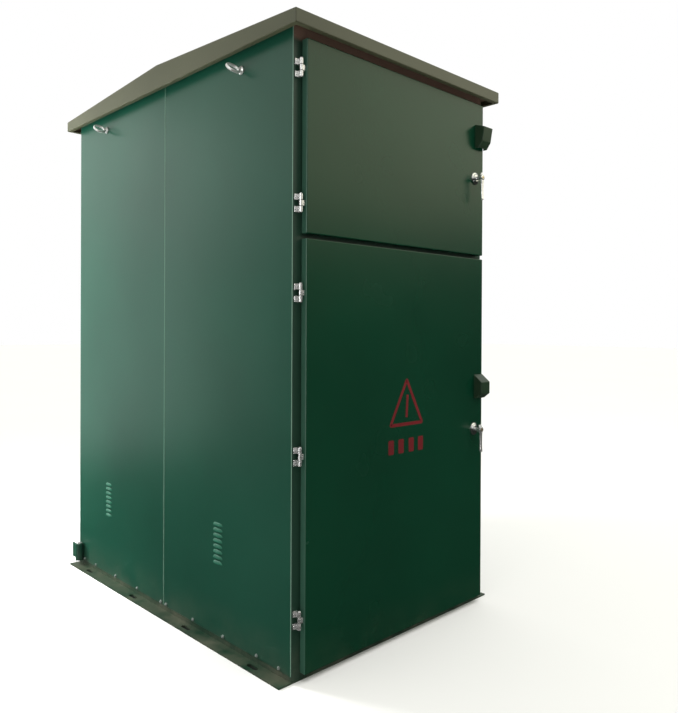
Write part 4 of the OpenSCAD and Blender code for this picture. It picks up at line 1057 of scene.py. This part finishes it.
def makeBarBolts():
    bm = bmesh.new()
    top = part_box("lv_bars")[1].z
    for x in barPlaces:
        for at, way in (((x, tank["lvY"], tank["lid"] + 0.076), upZ),
                        ((x, plateY - 0.075, 1.925), outward), ((x, plateY - 0.075, 1.950), outward),
                        ((x, -0.290, top), upZ), ((x, -0.385, top), upZ)):
            addRod(bm, at, way, 0.0085, 0.0012, 0.0003, 24)
            addHexHead(bm, Vector(at) + Vector(way) * 0.0012, way, 0.011, 0.0045)
    makePiece("barBolts", bm, zincPlate, "root", smooth=30)


makeBarBolts()
say("transformer")


# breakers, toggles and meter
breaker = {"mainX": -0.180, "mainW": 0.380, "mainD": 0.150, "mainZ": (1.653, 1.903), "slot": 0.030,
           "slotUp": 0.032, "front": 0.120, "feederX": (0.070, 0.190), "feederW": 0.088,
           "feederD": 0.080, "feederZ": (1.693, 1.853), "feederSlot": 0.022, "feederUp": 0.028,
           "feederFront": 0.060}


def addBreaker(bm, screwsTo, x, wide, deep, z, slot, slotUp, front, poles):
    mid = (z[0] + z[1]) / 2
    y = plateY
    cover = 0.030 if wide > 0.2 else 0.022
    addBox(bm, (x - wide / 2, y - deep * 0.62, z[0]), (x + wide / 2, y, z[1]), 0.003, 3)
    addBox(bm, (x - wide / 2 + 0.002, y - deep, z[0] + cover), (x + wide / 2 - 0.002, y - deep * 0.60,
                                                              z[1] - cover), 0.0045, 3)
    step = wide / poles
    for end in (z[0], z[1] - cover + 0.002):
        for i in range(poles):
            left = x - wide / 2 + i * step
            addBox(bm, (left + 0.004, y - deep * 0.86, end + 0.001),
                   (left + step - 0.004, y - deep * 0.58, end + cover - 0.003), 0.003, 2)
            addTurned(screwsTo, (left + step / 2, y - deep * 0.86, end + cover / 2), outward,
                      [(0, 0), (0.0062, 0), (0.0058, 0.0012), (0.0045, 0.0018), (0, 0.0018)], 24)
    # the raised front: four bars round the toggle's slot
    x0, x1 = x - front / 2, x + front / 2
    z0, z1 = mid - 1.6 * slotUp, mid + 1.6 * slotUp
    yf, yb = y - deep - 0.010, y - deep + 0.001
    addBox(bm, (x0, yf, z0), (x - slot / 2, yb, z1), 0.0018, 2)
    addBox(bm, (x + slot / 2, yf, z0), (x1, yb, z1), 0.0018, 2)
    addBox(bm, (x - slot / 2 - 0.003, yf + 0.0005, z0), (x + slot / 2 + 0.003, yb, mid - slotUp), 0.0014, 2)
    addBox(bm, (x - slot / 2 - 0.003, yf + 0.0005, mid + slotUp), (x + slot / 2 + 0.003, yb, z1), 0.0014, 2)
    for dx in (-1, 1):
        for dz in (-1, 1):
            up = (z[1] - z[0] - 2 * cover - 0.024) / 2
            spot = (x + dx * (wide / 2 - 0.012), y - deep + 0.0004, mid + dz * up)
            addTurned(screwsTo, spot, outward, [(0, 0), (0.0045, 0), (0.0042, 0.0009), (0, 0.0011)], 24)


def makeBreakers():
    steel = bmesh.new()
    bm = bmesh.new()
    addBreaker(bm, steel, breaker["mainX"], breaker["mainW"], breaker["mainD"], breaker["mainZ"],
               breaker["slot"], breaker["slotUp"], breaker["front"], 4)
    makePiece("mainBreakerBody", bm, blackPlastic, "root", ["main_breaker"])
    bm = bmesh.new()
    for x in breaker["feederX"]:
        addBreaker(bm, steel, x, breaker["feederW"], breaker["feederD"], breaker["feederZ"],
                   breaker["feederSlot"], breaker["feederUp"], breaker["feederFront"], 3)
    makePiece("feederBreakerBodies", bm, blackPlastic, "root", ["feeder_breakers"])
    makePiece("breakerScrews", steel, zincPlate, "root")
    bm = bmesh.new()
    for x, w, d, z, up in ((breaker["mainX"], 0.090, breaker["mainD"], breaker["mainZ"], 0.032),
                           *((x, 0.046, breaker["feederD"], breaker["feederZ"], 0.028)
                             for x in breaker["feederX"])):
        mid = (z[0] + z[1]) / 2
        addBox(bm, (x - w / 2, plateY - d - 0.0104, mid - 1.50 * up), (x + w / 2, plateY - d - 0.0096,
                                                                      mid - 1.12 * up), 0.0003)
    makePiece("breakerPlates", bm, palePlastic, "root")


def makeToggle(name, node, x, deep, z, slot):
    mid = (z[0] + z[1]) / 2
    bm = bmesh.new()
    addRod(bm, (x - slot / 2 + 0.001, plateY - deep + 0.006, mid), (1, 0, 0), 0.0079, slot - 0.002,
           0.0008, 36)
    reach = [(0.006, 0.0050), (-0.018, 0.0050), (-0.034, 0.0042), (-0.038, 0.0030),
             (-0.038, -0.0030), (-0.034, -0.0042), (-0.018, -0.0050), (0.006, -0.0050)]
    solidFrom(bm, [(x - slot / 2 + 0.002, plateY - deep + y, mid + dz) for y, dz in reach],
              (slot - 0.004, 0, 0))
    bmesh.ops.recalc_face_normals(bm, faces=bm.faces[:])
    far = plateY - deep - 0.010
    bevel(bm, [e for e in sharpEdges(bm, 60) if all(v.co.y < far for v in e.verts)], 0.0012, 3)
    for i in range(4):
        y = plateY - deep - 0.034 + i * 0.004
        for sign in (-1, 1):
            start = (x - slot / 2 + 0.004, y, mid + sign * 0.0044)
            addRod(bm, start, (1, 0, 0), 0.0006, slot - 0.008, 0.0002, 8)
    makePiece(name, bm, greyPlastic, node, [node])


makeBreakers()
makeToggle("mainToggle", "main_breaker_toggle", breaker["mainX"], breaker["mainD"], breaker["mainZ"],
           breaker["slot"])
for i, side in enumerate(("left", "right")):
    makeToggle("feederToggle" + side.capitalize(), "feeder_toggle_" + side, breaker["feederX"][i],
               breaker["feederD"], breaker["feederZ"], breaker["feederSlot"])


def makeMeter():
    low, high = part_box("meter")
    bm = bmesh.new()
    split = low.z + 0.062
    addBox(bm, (low.x + 0.001, low.y + 0.004, split), (high.x - 0.001, high.y, high.z), 0.005, 4)
    addBox(bm, (low.x + 0.003, low.y + 0.012, low.z), (high.x - 0.003, high.y, split - 0.0015), 0.004, 3)
    # raised frame round the window
    x0, x1, z0, z1 = low.x + 0.018, high.x - 0.018, high.z - 0.080, high.z - 0.025
    for a, b in (((x0 - 0.007, z0 - 0.007), (x1 + 0.007, z0)), ((x0 - 0.007, z1), (x1 + 0.007, z1 + 0.007)),
                 ((x0 - 0.007, z0 - 0.004), (x0, z1 + 0.004)), ((x1, z0 - 0.004), (x1 + 0.007, z1 + 0.004))):
        addBox(bm, (a[0], low.y, a[1]), (b[0], low.y + 0.008, b[1]), 0.0012, 2)
    makePiece("meterCase", bm, palePlastic, "root", ["meter"])
    bm = bmesh.new()
    addBox(bm, (x0 - 0.001, low.y + 0.0028, z0 - 0.001), (x1 + 0.001, low.y + 0.0055, z1 + 0.001), 0.0004)
    makePiece("meterWindow", bm, darkGlass, "root")
    bm = bmesh.new()
    for i in range(3):
        addTurned(bm, (low.x + 0.035 + i * 0.030, low.y + 0.0045, z0 - 0.020), outward,
                  [(0, 0), (0.0052, 0), (0.0050, 0.0018), (0.0040, 0.0024), (0, 0.0026)], 28)
    for x in (low.x + 0.016, high.x - 0.016):
        addTurned(bm, (x, low.y + 0.0125, low.z + 0.014), outward,
                  [(0, 0), (0.0048, 0), (0.0044, 0.0016), (0, 0.0022)], 24)
    makePiece("meterButtons", bm, greyPlastic, "root")


makeMeter()
say("low voltage side")

# room, light and camera
# the floor inside the body's footprint is near black: a painted shadow under the housing
room = {"floor": (0.86, 0.86, 0.85), "under": (0.012, 0.016, 0.013), "halfSize": 40.0,
        "shadowPatchReach": {"X": 0.560, "Y": 0.790}}


def makeFloor():
    bm = bmesh.new()
    bmesh.ops.create_grid(bm, x_segments=1, y_segments=1, size=room["halfSize"])
    mesh = bpy.data.meshes.new("studioFloor")
    bm.to_mesh(mesh)
    bm.free()
    floor = bpy.data.objects.new("studioFloor", mesh)
    bpy.context.scene.collection.objects.link(floor)
    r = Recipe("studioFloor", specular=0.1)
    tone = r.ramp(r.noise(0.6, 2.0), [(0.3, shade(room["floor"], 0.99)), (0.7, room["floor"])])
    apart = r.add("ShaderNodeSeparateXYZ")
    r.link(r.coords, apart.inputs["Vector"])
    # near-black painted shadow on the floor inside the body's footprint
    under = None
    for axis, reach in room["shadowPatchReach"].items():
        away = r.add("ShaderNodeMath", operation="ABSOLUTE")
        r.link(apart.outputs[axis], away.inputs[0])
        near = r.spread(away.outputs["Value"], reach - 0.004, reach + 0.004, 1.0, 0.0)
        under = r.times(under, near) if under else near
    tone = r.mix(under, tone, room["under"])
    r.shader.inputs["Roughness"].default_value = 0.9
    mesh.materials.append(r.done(tone))
    floor.visible_glossy = False


def addLight(name, place, target, size, power, colour=(1, 1, 1), shine=True, wash=True):
    data = bpy.data.lights.new(name, "AREA")
    data.shape = "RECTANGLE"
    data.size, data.size_y = size
    data.energy = power
    data.color = colour
    light = bpy.data.objects.new(name, data)
    light.location = place
    light.rotation_euler = (Vector(place) - Vector(target)).to_track_quat("Z", "Y").to_euler()
    light.visible_glossy = shine
    light.visible_diffuse = wash
    bpy.context.scene.collection.objects.link(light)


def addSun(name, turn, power, soft):
    data = bpy.data.lights.new(name, "SUN")
    data.energy = power
    data.angle = math.radians(soft)
    light = bpy.data.objects.new(name, data)
    light.rotation_euler = [math.radians(a) for a in turn]
    light.visible_glossy = False
    bpy.context.scene.collection.objects.link(light)


def addSky(low, high):
    # pale to the camera; for light and reflections dark low down and bright above
    world = bpy.data.worlds.new("studio")
    bpy.context.scene.world = world
    world.use_nodes = True
    tree = world.node_tree
    back = tree.nodes["Background"]
    way = tree.nodes.new("ShaderNodeTexCoord")
    apart = tree.nodes.new("ShaderNodeSeparateXYZ")
    up = tree.nodes.new("ShaderNodeValToRGB")
    stops = [(0.0, 0.02), (0.50, low), (0.54, low * 1.8), (0.62, high), (0.9, high * 1.15)]
    while len(up.color_ramp.elements) < len(stops):
        up.color_ramp.elements.new(0.5)
    for element, (place, value) in zip(up.color_ramp.elements, stops):
        element.position = place
        element.color = (value, value, value * 0.94, 1)
    span = tree.nodes.new("ShaderNodeMapRange")
    span.inputs["From Min"].default_value = -1.0
    rays = tree.nodes.new("ShaderNodeLightPath")
    pick = tree.nodes.new("ShaderNodeMix")
    pick.data_type = "RGBA"
    pick.inputs[7].default_value = (1, 1, 1, 1)
    for source, target in ((way.outputs["Generated"], apart.inputs["Vector"]),
                           (apart.outputs["Z"], span.inputs["Value"]),
                           (span.outputs["Result"], up.inputs["Fac"]),
                           (up.outputs["Color"], pick.inputs[6]),
                           (rays.outputs["Is Camera Ray"], pick.inputs["Factor"]),
                           (pick.outputs[2], back.inputs["Color"])):
        tree.links.new(source, target)


makeFloor()
addLight("sideWash", (-1.35, 2.0, 1.35), (-0.5, 0.5, 1.15), (0.9, 2.0), 125, shine=False)
addLight("sideSheen", (-2.25, 4.2, 1.6), (-0.5, 0.0, 1.2), (2.6, 3.6), 20)
addLight("edgeGlint", (-4.2, -1.0, 1.5), (-0.5, -0.8, 1.1), (0.9, 3.2), 75, wash=False)
addLight("frontRight", (3.7, -4.2, 3.8), (0, -0.8, 1.7), (4.0, 3.2), 34, (1.0, 0.94, 0.66))
addSun("topSoft", (22, 12, 0), 1.5, 60)
addSky(0.03, 0.72)

camera = {"place": (-1.957, -2.505, 1.155), "heading": 43.98, "pitch": -0.23, "roll": 0.26,
          "lens": 34.89, "sensor": 36.0, "shiftY": -0.0374, "near": 0.05}


def makeCamera():
    data = bpy.data.cameras.new("photoView")
    data.lens = camera["lens"]
    data.sensor_width = camera["sensor"]
    data.shift_y = camera["shiftY"]
    data.clip_start = camera["near"]
    view = bpy.data.objects.new("photoView", data)
    view.location = camera["place"]
    turn = (Matrix.Rotation(-math.radians(camera["heading"]), 4, "Z")
            @ Matrix.Rotation(math.pi / 2 + math.radians(camera["pitch"]), 4, "X")
            @ Matrix.Rotation(math.radians(camera["roll"]), 4, "Z"))
    view.rotation_euler = turn.to_euler()
    bpy.context.scene.collection.objects.link(view)
    bpy.context.scene.camera = view


makeCamera()
for piece in pieces:
    evenNormals(piece)
bpy.context.scene.view_settings.view_transform = "Standard"
say("light and camera")
